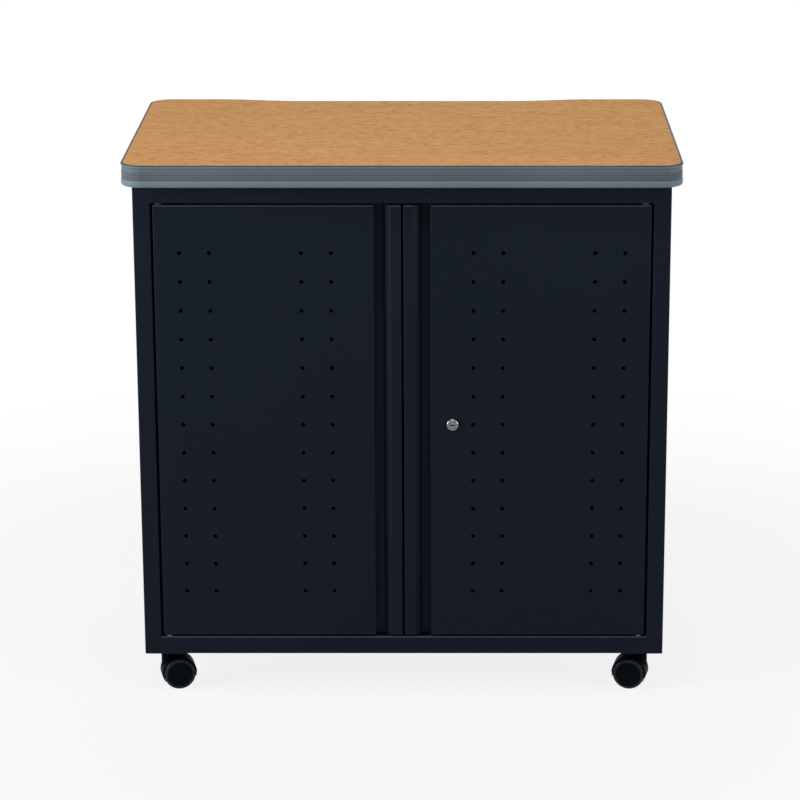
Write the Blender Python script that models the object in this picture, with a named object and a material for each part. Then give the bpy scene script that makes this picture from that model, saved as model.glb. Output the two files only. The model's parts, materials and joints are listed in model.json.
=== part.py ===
"""A mobile table: a two-door sheet steel cabinet on four twin-wheel casters, under a laminate worktop.

Metres, +Z up. The origin is on the floor under the middle of the worktop, +X points right
and the doors face -Y.
"""

import math

import bmesh
import bpy
from mathutils import Matrix, Vector

# Fits between pieces
SEAT_GAP = 0.0003
CUT_OVERRUN = 0.002
MERGE_DISTANCE = 0.000003

# Worktop
WORKTOP_WIDTH = 0.9525
WORKTOP_DEPTH = 0.6096
WORKTOP_THICKNESS = 0.038
WORKTOP_CORNER_RADIUS = 0.038
CORNER_STEPS = 6
LAMINATE_THICKNESS = 0.001
RECESS_WIDTH = 0.690
RECESS_FLAT_WIDTH = 0.400
RECESS_DEPTH = 0.0175
RECESS_STEPS = 6

# Edge moulding
MOULDING_WALL = 0.0032
TONGUE_LENGTH = 0.010
TONGUE_THICKNESS = 0.003

# Sheet steel
SHEET = 0.0012
BEND_RADIUS = 0.0024
BEND_STEPS = 3

# Cabinet
CABINET_HEIGHT = 0.845
SIDE_OVERHANG = 0.01905
FRONT_OVERHANG = 0.022
REAR_OVERHANG = 0.022
STILE_WIDTH = 0.0295
JAMB_DEPTH = 0.020
RAIL_HEIGHT = 0.03175
RAIL_SHELF_DEPTH = 0.040
RAIL_TURN_UP = 0.010
REAR_FLANGE_WIDTH = 0.018
BACK_PANEL_MARGIN = 0.004
BASE_RETURN = 0.020
CLEAT_LEG = 0.028
CLEAT_DROP = 0.024
CHANNEL_WIDTH = 0.070

# Shelf
SHELF_HEIGHT = 0.560
SHELF_FLANGE = 0.019
SHELF_SETBACK = 0.024
SHELF_SIDE_GAP = 0.0006
SHELF_ANGLE_LEG = 0.018

# Doors
DOOR_SIDE_GAP = 0.004
DOOR_CENTRE_GAP = 0.0037
DOOR_END_GAP = 0.003
DOOR_THICKNESS = 0.019
DOOR_LIP = 0.014
PULL_STRIP_WIDTH = 0.0184
PULL_SLOPE_WIDTH = 0.013
PULL_FLOOR_WIDTH = 0.0152
PULL_DEPTH = 0.014
HOLE_RADIUS = 0.00355
HOLE_SIDES = 10
HOLE_PITCH = 0.0508
HOLE_ROWS = 13
HOLE_FIRST_COLUMN = 0.0440
HOLE_LAST_COLUMN_TO_PULL = 0.07315
STIFFENER_WIDTH = 0.064
STIFFENER_CROWN = 0.028
STIFFENER_FOOT = 0.014
STIFFENER_HEIGHT = 0.011
STIFFENER_END_GAP = 0.020

# Door pivots
PIVOT_INSET = 0.0098
PIN_RADIUS = 0.003
PIN_LENGTH = 0.011
PIN_FOOT_RADIUS = 0.006
PIN_FOOT_THICKNESS = 0.0008
PIN_CLEARANCE = 0.00025
BUSHING_WALL = 0.002
BUSHING_FLANGE_WIDTH = 0.0018
BUSHING_FLANGE_THICKNESS = 0.0012
BUSHING_LENGTH = 0.007
PIVOT_SIDES = 16

# Magnetic catches
CATCH_FROM_MEETING_EDGE = 0.075
CATCH_WIDTH = 0.046
CATCH_DEPTH = 0.014
CATCH_HEIGHT = 0.012
STRIKE_WIDTH = 0.038
STRIKE_HEIGHT = 0.0115
STRIKE_THICKNESS = 0.001

# Cam lock
LOCK_FROM_MEETING_EDGE = 0.084
LOCK_BELOW_SHELF = 0.0625
LOCK_HEAD_RADIUS = 0.011
LOCK_HEAD_THICKNESS = 0.004
LOCK_HEAD_BEVEL = 0.0012
LOCK_BARREL_RADIUS = 0.0095
LOCK_BARREL_LENGTH = 0.022
LOCK_PLUG_RADIUS = 0.0063
LOCK_PLUG_SETBACK = 0.0006
LOCK_CLEARANCE = 0.0002
LOCK_SIDES = 24
KEYWAY_LENGTH = 0.0085
KEYWAY_WIDTH = 0.0017
KEYWAY_DEPTH = 0.007
NUT_ACROSS_CORNERS = 0.028
NUT_THICKNESS = 0.003
NUT_SIDES = 6
CAM_LENGTH = 0.032
CAM_WIDTH = 0.014
CAM_THICKNESS = 0.0025
CAM_SETBACK = 0.0245
CAM_SCREW_RADIUS = 0.0045
CAM_SCREW_THICKNESS = 0.003
LOCK_STRIKE_WIDTH = 0.040
LOCK_STRIKE_THICKNESS = 0.002
LOCK_STRIKE_DROP = 0.012
LOCK_STRIKE_LAP = 0.016

# Casters
CASTER_HEIGHT = 0.075
CASTER_INSET = 0.036
CASTER_TRAIL = 0.019
CASTER_YAWS = {"front_left": 12, "front_right": 168, "rear_left": -14, "rear_right": 200}
PLATE_SIDE = 0.058
PLATE_THICKNESS = 0.0025
PLATE_HOLE_RADIUS = 0.003
PLATE_HOLE_SPACING = 0.043
PLATE_HOLE_SIDES = 8
RACE_RADIUS = 0.013
RACE_HEIGHT = 0.0045
KINGPIN_RADIUS = 0.005
KINGPIN_LENGTH = 0.009
KINGPIN_CLEARANCE = 0.0004
CASTER_SIDES = 20
WHEEL_RADIUS = 0.028
WHEEL_WIDTH = 0.0185
WHEEL_FACE_RADIUS = 0.0235
WHEEL_FACE_SETBACK = 0.0006
WHEEL_RIM_ROUNDING = 0.0045
WHEEL_RIM_STEPS = 3
WHEEL_BORE_DEPTH = 0.014
AXLE_RADIUS = 0.003
AXLE_CLEARANCE = 0.0002
HOOD_RADIUS = 0.032
HOOD_WALL = 0.0028
HOOD_WIDTH = 0.038
HOOD_SHOULDER = 0.003
HOOD_WEB = 0.006
HOOD_WEB_GAP = 0.0006
HOOD_NECK_RADIUS = 0.014
HOOD_TRAILING_TIP = 0.0005
HOOD_LEADING_TIP = 0.0125
HOOD_SIDES = 32

# Places that follow from the sizes above
CABINET_SIDE = WORKTOP_WIDTH / 2 - SIDE_OVERHANG
CABINET_BOTTOM = CASTER_HEIGHT
CABINET_TOP = CABINET_BOTTOM + CABINET_HEIGHT
FRONT = -WORKTOP_DEPTH / 2 + FRONT_OVERHANG
BACK = WORKTOP_DEPTH / 2 - REAR_OVERHANG
BACK_FLANGE = BACK - SHEET - SEAT_GAP
STILE_INNER = CABINET_SIDE - STILE_WIDTH
DECK_HEIGHT = CABINET_BOTTOM + RAIL_HEIGHT
HEAD_HEIGHT = CABINET_TOP - RAIL_HEIGHT
DOOR_BOTTOM = DECK_HEIGHT + DOOR_END_GAP
DOOR_HEIGHT = HEAD_HEIGHT - DOOR_END_GAP - DOOR_BOTTOM
DOOR_WIDTH = STILE_INNER - DOOR_SIDE_GAP - DOOR_CENTRE_GAP / 2
PIVOT_SETBACK = DOOR_THICKNESS / 2
LOCK_HEIGHT = SHELF_HEIGHT - LOCK_BELOW_SHELF
SIDES = {"left": -1, "right": 1}


def linear_colour(hex_colour):
    """The linear colour of an sRGB colour written as six hex digits."""
    channels = [int(hex_colour[i : i + 2], 16) / 255 for i in (0, 2, 4)]
    return [c / 12.92 if c <= 0.04045 else ((c + 0.055) / 1.055) ** 2.4 for c in channels]


def finish(name, hex_colour, roughness, metallic):
    material = bpy.data.materials.new(name)
    material.use_nodes = True
    shader = material.node_tree.nodes["Principled BSDF"]
    shader.inputs["Base Color"].default_value = (*linear_colour(hex_colour), 1)
    shader.inputs["Roughness"].default_value = roughness
    shader.inputs["Metallic"].default_value = metallic
    return material


def add_piece(name, bm, material, parent=None, location=(0, 0, 0), rotation=(0, 0, 0)):
    """A named object from a bmesh, with its faces pointing out and its round sides smooth."""
    bmesh.ops.recalc_face_normals(bm, faces=bm.faces)
    mesh = bpy.data.meshes.new(name)
    bm.to_mesh(mesh)
    bm.free()
    mesh.shade_smooth()
    mesh.set_sharp_from_angle(angle=math.radians(35))
    if material:
        mesh.materials.append(material)
    piece = bpy.data.objects.new(name, mesh)
    piece.parent = parent
    piece.location = location
    piece.rotation_euler = rotation
    bpy.context.collection.objects.link(piece)
    return piece


def add_empty(name, location, parent=None, yaw=0):
    empty = bpy.data.objects.new(name, None)
    empty.location = location
    empty.rotation_euler = (0, 0, yaw)
    empty.parent = parent
    bpy.context.collection.objects.link(empty)
    return empty


def combine(piece, other, operation):
    """A live Boolean of the piece with a guide, which is hidden from the model."""
    boolean = piece.modifiers.new(other.name, "BOOLEAN")
    boolean.object = other
    boolean.operation = operation
    boolean.solver = "EXACT"
    other.hide_render = True
    other.display_type = "WIRE"


def block(low, high):
    """A rectangular block between its lowest and highest corners."""
    bm = bmesh.new()
    size = [b - a for a, b in zip(low, high)]
    middle = [(a + b) / 2 for a, b in zip(low, high)]
    bmesh.ops.create_cube(bm, size=1)
    bmesh.ops.transform(bm, matrix=Matrix.Translation(middle) @ Matrix.Diagonal((*size, 1)), verts=bm.verts)
    return bm


def prism(outline, start, end, axis):
    """A closed outline extruded from one place to another along the named axis."""
    bm = bmesh.new()

    def place(a, b, c):
        return {"X": (c, a, b), "Y": (a, c, b), "Z": (a, b, c)}[axis]

    face = bm.faces.new([bm.verts.new(place(a, b, start)) for a, b in outline])
    grown = bmesh.ops.extrude_face_region(bm, geom=[face])["geom"]
    far_side = [item for item in grown if isinstance(item, bmesh.types.BMVert)]
    bmesh.ops.translate(bm, vec=place(0, 0, end - start), verts=far_side)
    return bm


def turned(profile, sides, ring=False, flats_down=False):
    """A (radius, height) profile spun about Z; a ring's profile is closed and stays off the axis."""
    bm = bmesh.new()
    verts = [bm.verts.new((radius, 0, height)) for radius, height in profile]
    pairs = list(zip(verts, verts[1:]))
    if ring:
        pairs.append((verts[-1], verts[0]))
    edges = [bm.edges.new(pair) for pair in pairs]
    if flats_down:
        bmesh.ops.rotate(bm, verts=bm.verts, matrix=Matrix.Rotation(math.pi / sides, 3, "Z"))
    bmesh.ops.spin(
        bm, geom=verts + edges, axis=(0, 0, 1), angle=math.tau, steps=sides, use_merge=True
    )
    bmesh.ops.remove_doubles(bm, verts=bm.verts, dist=MERGE_DISTANCE)
    return bm


def offset_line(line, distance):
    """An open line moved sideways, to its left for a positive distance, its corners mitred."""
    steps = [(b - a).normalized() for a, b in zip(line, line[1:])]
    moved = []
    for i, point in enumerate(line):
        before = steps[max(i - 1, 0)]
        after = steps[min(i, len(steps) - 1)]
        normal = Vector((-before.y - after.y, before.x + after.x)).normalized()
        moved.append(point + normal * distance / normal.dot(Vector((-after.y, after.x))))
    return moved


def bent_line(points, thickness):
    """The points joined by a sheet's bends; the sheet lies to the left for a positive thickness."""
    corners = [Vector(point) for point in points]
    line = [corners[0]]
    for before, corner, after in zip(corners, corners[1:], corners[2:]):
        arrive = (corner - before).normalized()
        leave = (after - corner).normalized()
        turn = math.atan2(arrive.x * leave.y - arrive.y * leave.x, arrive.dot(leave))
        radius = BEND_RADIUS if turn * thickness > 0 else BEND_RADIUS - abs(thickness)
        start = corner - arrive * radius * math.tan(abs(turn) / 2)
        side = math.copysign(1, turn)
        centre = start + Vector((-arrive.y, arrive.x)) * side * radius
        for i in range(BEND_STEPS + 1):
            line.append(centre + Matrix.Rotation(turn * i / BEND_STEPS, 2) @ (start - centre))
    line.append(corners[-1])
    return line


def sheet_section(points, thickness=SHEET):
    """The closed section of a bent sheet whose show face follows the points."""
    line = bent_line(points, thickness)
    return line + offset_line(line, thickness)[::-1]


def worktop_outline(inset):
    """The worktop's plan, counter-clockwise from the front right corner, moved in by the inset."""
    half_x = WORKTOP_WIDTH / 2 - inset
    half_y = WORKTOP_DEPTH / 2 - inset
    radius = WORKTOP_CORNER_RADIUS - inset
    points = []

    def corner(side_x, side_y, start):
        centre = Vector((side_x * (half_x - radius), side_y * (half_y - radius)))
        for i in range(CORNER_STEPS + 1):
            angle = start + math.pi / 2 * i / CORNER_STEPS
            points.append(centre + radius * Vector((math.cos(angle), math.sin(angle))))

    def recess_end(from_share, to_share, side_x):
        for i in range(RECESS_STEPS + 1):
            share = from_share + (to_share - from_share) * i / RECESS_STEPS
            x = RECESS_WIDTH / 2 - share * (RECESS_WIDTH - RECESS_FLAT_WIDTH) / 2
            sink = RECESS_DEPTH * (1 - math.cos(math.pi * share)) / 2
            points.append(Vector((side_x * x, half_y - sink)))

    corner(1, -1, -math.pi / 2)
    corner(1, 1, 0)
    recess_end(0, 1, 1)
    recess_end(1, 0, -1)
    corner(-1, 1, math.pi / 2)
    corner(-1, -1, math.pi)
    return points


def worktop_rings(levels, closed):
    """The worktop's outline at each (inset, height) level, ring to ring, and capped unless closed."""
    bm = bmesh.new()
    rings = [[bm.verts.new((x, y, height)) for x, y in worktop_outline(inset)] for inset, height in levels]
    pairs = list(zip(rings, rings[1:]))
    if closed:
        pairs.append((rings[-1], rings[0]))
    else:
        bm.faces.new(rings[0])
        bm.faces.new(rings[-1])
    for lower, upper in pairs:
        for i in range(len(lower)):
            bm.faces.new((lower[i - 1], lower[i], upper[i], upper[i - 1]))
    return bm


def make_worktop():
    """A board core faced with laminate, in a moulding whose tongue is pressed into the board's slot."""
    top = CABINET_TOP + WORKTOP_THICKNESS
    middle = CABINET_TOP + WORKTOP_THICKNESS / 2
    board_inset = MOULDING_WALL + SEAT_GAP
    slot_inset = board_inset + TONGUE_LENGTH
    slot_half = TONGUE_THICKNESS / 2 + SEAT_GAP
    laminate_bottom = top - LAMINATE_THICKNESS
    core_levels = [
        (board_inset, CABINET_TOP + SEAT_GAP),
        (board_inset, middle - slot_half),
        (slot_inset, middle - slot_half),
        (slot_inset, middle + slot_half),
        (board_inset, middle + slot_half),
        (board_inset, laminate_bottom - SEAT_GAP),
    ]
    add_piece("top_core", worktop_rings(core_levels, False), BOARD)
    sheet_levels = [(board_inset, laminate_bottom), (board_inset, top)]
    add_piece("laminate_sheet", worktop_rings(sheet_levels, False), LAMINATE)

    # The face runs down from the lip over a plain band, three ribs and a rounded bead:
    # each pair is a share of the moulding's wall and a share of the worktop's thickness.
    face_shares = [
        (1.00, 1.00), (0.35, 0.99), (0.00, 0.95), (0.00, 0.90), (0.42, 0.855), (0.38, 0.665),
        (0.60, 0.635), (0.14, 0.595), (0.60, 0.545), (0.14, 0.490), (0.60, 0.440), (0.14, 0.385),
        (0.60, 0.330), (0.10, 0.280), (0.00, 0.160), (0.20, 0.035), (0.60, 0.000), (1.00, 0.000),
    ]
    moulding_levels = [
        (wall_share * MOULDING_WALL, CABINET_TOP + height_share * WORKTOP_THICKNESS)
        for wall_share, height_share in face_shares
    ]
    tongue_inset = MOULDING_WALL + TONGUE_LENGTH
    moulding_levels += [
        (MOULDING_WALL, middle - TONGUE_THICKNESS / 2),
        (tongue_inset, middle - TONGUE_THICKNESS / 2),
        (tongue_inset, middle + TONGUE_THICKNESS / 2),
        (MOULDING_WALL, middle + TONGUE_THICKNESS / 2),
    ]
    add_piece("edge_moulding", worktop_rings(moulding_levels, True), VINYL)


def make_side_panel(name, side):
    """One sheet bent round from the rear flange to the front stile and the door jamb."""
    wall = side * CABINET_SIDE
    points = [
        (side * (CABINET_SIDE - REAR_FLANGE_WIDTH), BACK_FLANGE),
        (wall, BACK_FLANGE),
        (wall, FRONT),
        (side * STILE_INNER, FRONT),
        (side * STILE_INNER, FRONT + JAMB_DEPTH),
    ]
    section = sheet_section(points, -side * SHEET)
    add_piece(f"{name}_side_panel", prism(section, CABINET_BOTTOM, CABINET_TOP, "Z"), POWDER_COAT)


def make_back_panel():
    """A flat sheet screwed over the side panels' rear flanges."""
    low = (-CABINET_SIDE + BACK_PANEL_MARGIN, BACK - SHEET, CABINET_BOTTOM + BACK_PANEL_MARGIN)
    high = (CABINET_SIDE - BACK_PANEL_MARGIN, BACK, CABINET_TOP - BACK_PANEL_MARGIN)
    add_piece("back_panel", block(low, high), POWDER_COAT)


def make_base():
    """The base pan, whose front flange is the bottom rail, and the two channels that carry the casters."""
    points = [
        (FRONT + BASE_RETURN, CABINET_BOTTOM),
        (FRONT, CABINET_BOTTOM),
        (FRONT, DECK_HEIGHT),
        (BACK_FLANGE, DECK_HEIGHT),
        (BACK_FLANGE, CABINET_BOTTOM),
        (BACK_FLANGE - BASE_RETURN, CABINET_BOTTOM),
    ]
    inner_side = CABINET_SIDE - SHEET - SEAT_GAP
    section = sheet_section(points, -SHEET)
    pan = add_piece("base_pan", prism(section, -inner_side, inner_side, "X"), POWDER_COAT)
    # The pan's corners are notched round the stiles in front and the side panels' flanges behind.
    notch_low = CABINET_BOTTOM - CUT_OVERRUN
    notch_high = DECK_HEIGHT + CUT_OVERRUN
    for name, side in SIDES.items():
        outer = side * (CABINET_SIDE + CUT_OVERRUN)
        stile = side * (STILE_INNER - SEAT_GAP)
        flange = side * (CABINET_SIDE - REAR_FLANGE_WIDTH - SEAT_GAP)
        front_notch = block(
            (min(outer, stile), FRONT - CUT_OVERRUN, notch_low),
            (max(outer, stile), FRONT + JAMB_DEPTH + SEAT_GAP, notch_high),
        )
        rear_notch = block(
            (min(outer, flange), BACK_FLANGE - BEND_RADIUS - SEAT_GAP, notch_low),
            (max(outer, flange), BACK + CUT_OVERRUN, notch_high),
        )
        combine(pan, add_piece(f"{name}_front_notch", front_notch, None), "DIFFERENCE")
        combine(pan, add_piece(f"{name}_rear_notch", rear_notch, None), "DIFFERENCE")

        near = side * (inner_side - SEAT_GAP)
        far = side * (inner_side - SEAT_GAP - CHANNEL_WIDTH)
        deck_underside = DECK_HEIGHT - SHEET - SEAT_GAP
        channel_points = [
            (near, deck_underside),
            (near, CABINET_BOTTOM),
            (far, CABINET_BOTTOM),
            (far, deck_underside),
        ]
        channel_start = FRONT + BASE_RETURN + SEAT_GAP
        channel_end = BACK_FLANGE - BASE_RETURN - SEAT_GAP
        section = sheet_section(channel_points, -side * SHEET)
        add_piece(f"{name}_caster_channel", prism(section, channel_start, channel_end, "Y"), POWDER_COAT)


def make_top_frame():
    """The front and rear rails and the side cleats that the worktop is screwed to."""
    front_points = [
        (FRONT + RAIL_SHELF_DEPTH, CABINET_TOP),
        (FRONT, CABINET_TOP),
        (FRONT, HEAD_HEIGHT),
        (FRONT + RAIL_SHELF_DEPTH, HEAD_HEIGHT),
        (FRONT + RAIL_SHELF_DEPTH, HEAD_HEIGHT + RAIL_TURN_UP),
    ]
    reach = STILE_INNER - SEAT_GAP
    add_piece("top_front_rail", prism(sheet_section(front_points), -reach, reach, "X"), POWDER_COAT)
    rear_points = [
        (BACK_FLANGE, HEAD_HEIGHT),
        (BACK_FLANGE, CABINET_TOP),
        (BACK_FLANGE - RAIL_SHELF_DEPTH, CABINET_TOP),
    ]
    reach = CABINET_SIDE - REAR_FLANGE_WIDTH - SEAT_GAP
    add_piece("top_rear_rail", prism(sheet_section(rear_points), -reach, reach, "X"), POWDER_COAT)
    for name, side in SIDES.items():
        wall = side * (CABINET_SIDE - SHEET - SEAT_GAP)
        cleat_points = [
            (wall, CABINET_TOP - CLEAT_DROP),
            (wall, CABINET_TOP),
            (wall - side * CLEAT_LEG, CABINET_TOP),
        ]
        section = sheet_section(cleat_points, side * SHEET)
        start = FRONT + RAIL_SHELF_DEPTH + SEAT_GAP
        end = BACK_FLANGE - RAIL_SHELF_DEPTH - SEAT_GAP
        add_piece(f"{name}_top_cleat", prism(section, start, end, "Y"), POWDER_COAT)


def make_shelf():
    """A shelf at mid height on two side angles, with the strike that the lock's cam turns behind."""
    front = FRONT + SHELF_SETBACK
    back = BACK_FLANGE - BEND_RADIUS - SEAT_GAP
    reach = CABINET_SIDE - SHEET - SHELF_SIDE_GAP
    shelf_points = [
        (front, SHELF_HEIGHT - SHELF_FLANGE),
        (front, SHELF_HEIGHT),
        (back, SHELF_HEIGHT),
        (back, SHELF_HEIGHT - SHELF_FLANGE),
    ]
    add_piece("fixed_shelf", prism(sheet_section(shelf_points, -SHEET), -reach, reach, "X"), POWDER_COAT)
    for name, side in SIDES.items():
        wall = side * (CABINET_SIDE - SHEET - SEAT_GAP)
        seat = SHELF_HEIGHT - SHEET - SEAT_GAP
        angle_points = [(wall, seat - SHELF_ANGLE_LEG), (wall, seat), (wall - side * SHELF_ANGLE_LEG, seat)]
        section = sheet_section(angle_points, side * SHEET)
        start = front + BEND_RADIUS + SEAT_GAP
        end = back - BEND_RADIUS - SEAT_GAP
        add_piece(f"{name}_shelf_angle", prism(section, start, end, "Y"), POWDER_COAT)

    lock_x = DOOR_CENTRE_GAP / 2 + LOCK_FROM_MEETING_EDGE
    strike_back = front - SEAT_GAP
    strike_bottom = LOCK_HEIGHT + LOCK_STRIKE_DROP
    strike_top = SHELF_HEIGHT - SHELF_FLANGE + LOCK_STRIKE_LAP
    strike = block(
        (lock_x - LOCK_STRIKE_WIDTH / 2, strike_back - LOCK_STRIKE_THICKNESS, strike_bottom),
        (lock_x + LOCK_STRIKE_WIDTH / 2, strike_back, strike_top),
    )
    add_piece("lock_strike", strike, ZINC)


def make_door(name, side, pivot):
    """A sheet steel tray with a full-height finger pull, pierced by paired columns of holes."""

    def door_place(from_hinge, from_face):
        return Vector((-side * (from_hinge - PIVOT_INSET), from_face - PIVOT_SETBACK))

    pull_start = DOOR_WIDTH - PULL_STRIP_WIDTH - PULL_SLOPE_WIDTH - PULL_FLOOR_WIDTH
    front_points = [
        door_place(0, DOOR_THICKNESS),
        door_place(0, 0),
        door_place(pull_start, 0),
        door_place(pull_start, PULL_DEPTH),
        door_place(pull_start + PULL_FLOOR_WIDTH, PULL_DEPTH),
        door_place(DOOR_WIDTH - PULL_STRIP_WIDTH, 0),
        door_place(DOOR_WIDTH, 0),
        door_place(DOOR_WIDTH, DOOR_THICKNESS),
    ]
    face = bent_line(front_points, -side * SHEET)
    door = add_piece(f"{name}_door", prism(face, 0, DOOR_HEIGHT, "Z"), POWDER_COAT, pivot)

    inner = offset_line(face, -side * SHEET)
    pocket_back = DOOR_THICKNESS - SHEET - PIVOT_SETBACK
    inner[0].y = pocket_back
    inner[-1].y = pocket_back
    pocket = prism(inner, SHEET, DOOR_HEIGHT - SHEET, "Z")
    combine(door, add_piece(f"{name}_door_pocket", pocket, None, pivot), "DIFFERENCE")
    corner_a = door_place(DOOR_LIP, DOOR_THICKNESS)
    corner_b = door_place(DOOR_WIDTH - DOOR_LIP, DOOR_THICKNESS)
    mouth = block(
        (min(corner_a.x, corner_b.x), pocket_back - SHEET / 2, DOOR_LIP),
        (max(corner_a.x, corner_b.x), corner_a.y + CUT_OVERRUN, DOOR_HEIGHT - DOOR_LIP),
    )
    combine(door, add_piece(f"{name}_door_mouth", mouth, None, pivot), "DIFFERENCE")

    # All holes are one cutter: the perforations, the two bushing holes and, on the right, the lock's.
    holes = bmesh.new()

    def drill(place, height, radius, sides, axis):
        turn = Matrix.Rotation(math.pi / 2, 4, "X") if axis == "Y" else Matrix()
        length = PULL_DEPTH if axis == "Y" else SHEET + DOOR_END_GAP
        bmesh.ops.create_cone(
            holes, cap_ends=True, segments=sides, radius1=radius, radius2=radius, depth=length,
            matrix=Matrix.Translation((place.x, place.y, height)) @ turn,
        )

    first_row = DOOR_HEIGHT / 2 - HOLE_PITCH * (HOLE_ROWS - 1) / 2
    pair_starts = (HOLE_FIRST_COLUMN, pull_start - HOLE_LAST_COLUMN_TO_PULL - HOLE_PITCH)
    for pair_start in pair_starts:
        for column in range(2):
            from_hinge = pair_start + column * HOLE_PITCH
            for row in range(HOLE_ROWS):
                height = first_row + row * HOLE_PITCH
                drill(door_place(from_hinge, 0), height, HOLE_RADIUS, HOLE_SIDES, "Y")
    bushing_hole = PIN_RADIUS + PIN_CLEARANCE + BUSHING_WALL + SEAT_GAP
    for height in (SHEET / 2, DOOR_HEIGHT - SHEET / 2):
        drill(Vector((0, 0)), height, bushing_hole, PIVOT_SIDES, "Z")
    if name == "right":
        place = door_place(DOOR_WIDTH - LOCK_FROM_MEETING_EDGE, 0)
        drill(place, LOCK_HEIGHT - DOOR_BOTTOM, LOCK_BARREL_RADIUS + SEAT_GAP, LOCK_SIDES, "Y")
    combine(door, add_piece(f"{name}_door_holes", holes, None, pivot), "DIFFERENCE")

    # The stiffener is a hat channel on the back of the face, between the two pairs of columns.
    middle = (sum(pair_starts) + HOLE_PITCH) / 2
    seat = SHEET + SEAT_GAP
    hat = [
        (-STIFFENER_WIDTH / 2, 0),
        (-STIFFENER_WIDTH / 2 + STIFFENER_FOOT, 0),
        (-STIFFENER_CROWN / 2, STIFFENER_HEIGHT),
        (STIFFENER_CROWN / 2, STIFFENER_HEIGHT),
        (STIFFENER_WIDTH / 2 - STIFFENER_FOOT, 0),
        (STIFFENER_WIDTH / 2, 0),
    ]
    points = [door_place(middle + along, seat + rise) for along, rise in hat]
    section = sheet_section(points, -side * SHEET)
    stiffener = prism(section, STIFFENER_END_GAP, DOOR_HEIGHT - STIFFENER_END_GAP, "Z")
    add_piece(f"{name}_door_stiffener", stiffener, POWDER_COAT, pivot)


def make_pivots(name, side, pivot):
    """Shouldered pins fixed to the deck and the head rail, in flanged bushings set in the door's ends."""
    pin_profile = [
        (0, SEAT_GAP),
        (PIN_FOOT_RADIUS, SEAT_GAP),
        (PIN_FOOT_RADIUS, SEAT_GAP + PIN_FOOT_THICKNESS),
        (PIN_RADIUS, SEAT_GAP + PIN_FOOT_THICKNESS),
        (PIN_RADIUS, PIN_LENGTH),
        (0, PIN_LENGTH),
    ]
    bore = PIN_RADIUS + PIN_CLEARANCE
    sleeve = bore + BUSHING_WALL
    rim = sleeve + BUSHING_FLANGE_WIDTH
    bushing_profile = [
        (bore, -SEAT_GAP - BUSHING_FLANGE_THICKNESS),
        (rim, -SEAT_GAP - BUSHING_FLANGE_THICKNESS),
        (rim, -SEAT_GAP),
        (sleeve, -SEAT_GAP),
        (sleeve, BUSHING_LENGTH),
        (bore, BUSHING_LENGTH),
    ]
    x, y = pivot.location.x, pivot.location.y
    for end, pin_height, bushing_height, tilt in (
        ("lower", DECK_HEIGHT, 0, 0),
        ("upper", HEAD_HEIGHT, DOOR_HEIGHT, math.pi),
    ):
        pin = turned(pin_profile, PIVOT_SIDES)
        add_piece(f"{name}_{end}_pivot_pin", pin, ZINC, None, (x, y, pin_height), (tilt, 0, 0))
        bushing = turned(bushing_profile, PIVOT_SIDES, ring=True)
        add_piece(
            f"{name}_{end}_pivot_bushing", bushing, WHITE_NYLON, pivot, (0, 0, bushing_height), (tilt, 0, 0)
        )


def make_catch(name, side, pivot):
    """A magnet housing under the head rail, and the steel plate that it holds on the door's rear lip."""
    door_back = FRONT + DOOR_THICKNESS
    plate_back = door_back + SEAT_GAP + STRIKE_THICKNESS
    catch_x = side * (DOOR_CENTRE_GAP / 2 + CATCH_FROM_MEETING_EDGE)
    catch_front = plate_back + SEAT_GAP
    catch_top = HEAD_HEIGHT - SEAT_GAP
    catch = block(
        (catch_x - CATCH_WIDTH / 2, catch_front, catch_top - CATCH_HEIGHT),
        (catch_x + CATCH_WIDTH / 2, catch_front + CATCH_DEPTH, catch_top),
    )
    add_piece(f"{name}_magnetic_catch", catch, CATCH_PLASTIC)
    plate_x = catch_x - pivot.location.x
    plate_top = DOOR_HEIGHT - SHEET
    plate = block(
        (plate_x - STRIKE_WIDTH / 2, door_back + SEAT_GAP - pivot.location.y, plate_top - STRIKE_HEIGHT),
        (plate_x + STRIKE_WIDTH / 2, plate_back - pivot.location.y, plate_top),
    )
    add_piece(f"{name}_catch_plate", plate, ZINC, pivot)


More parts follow.
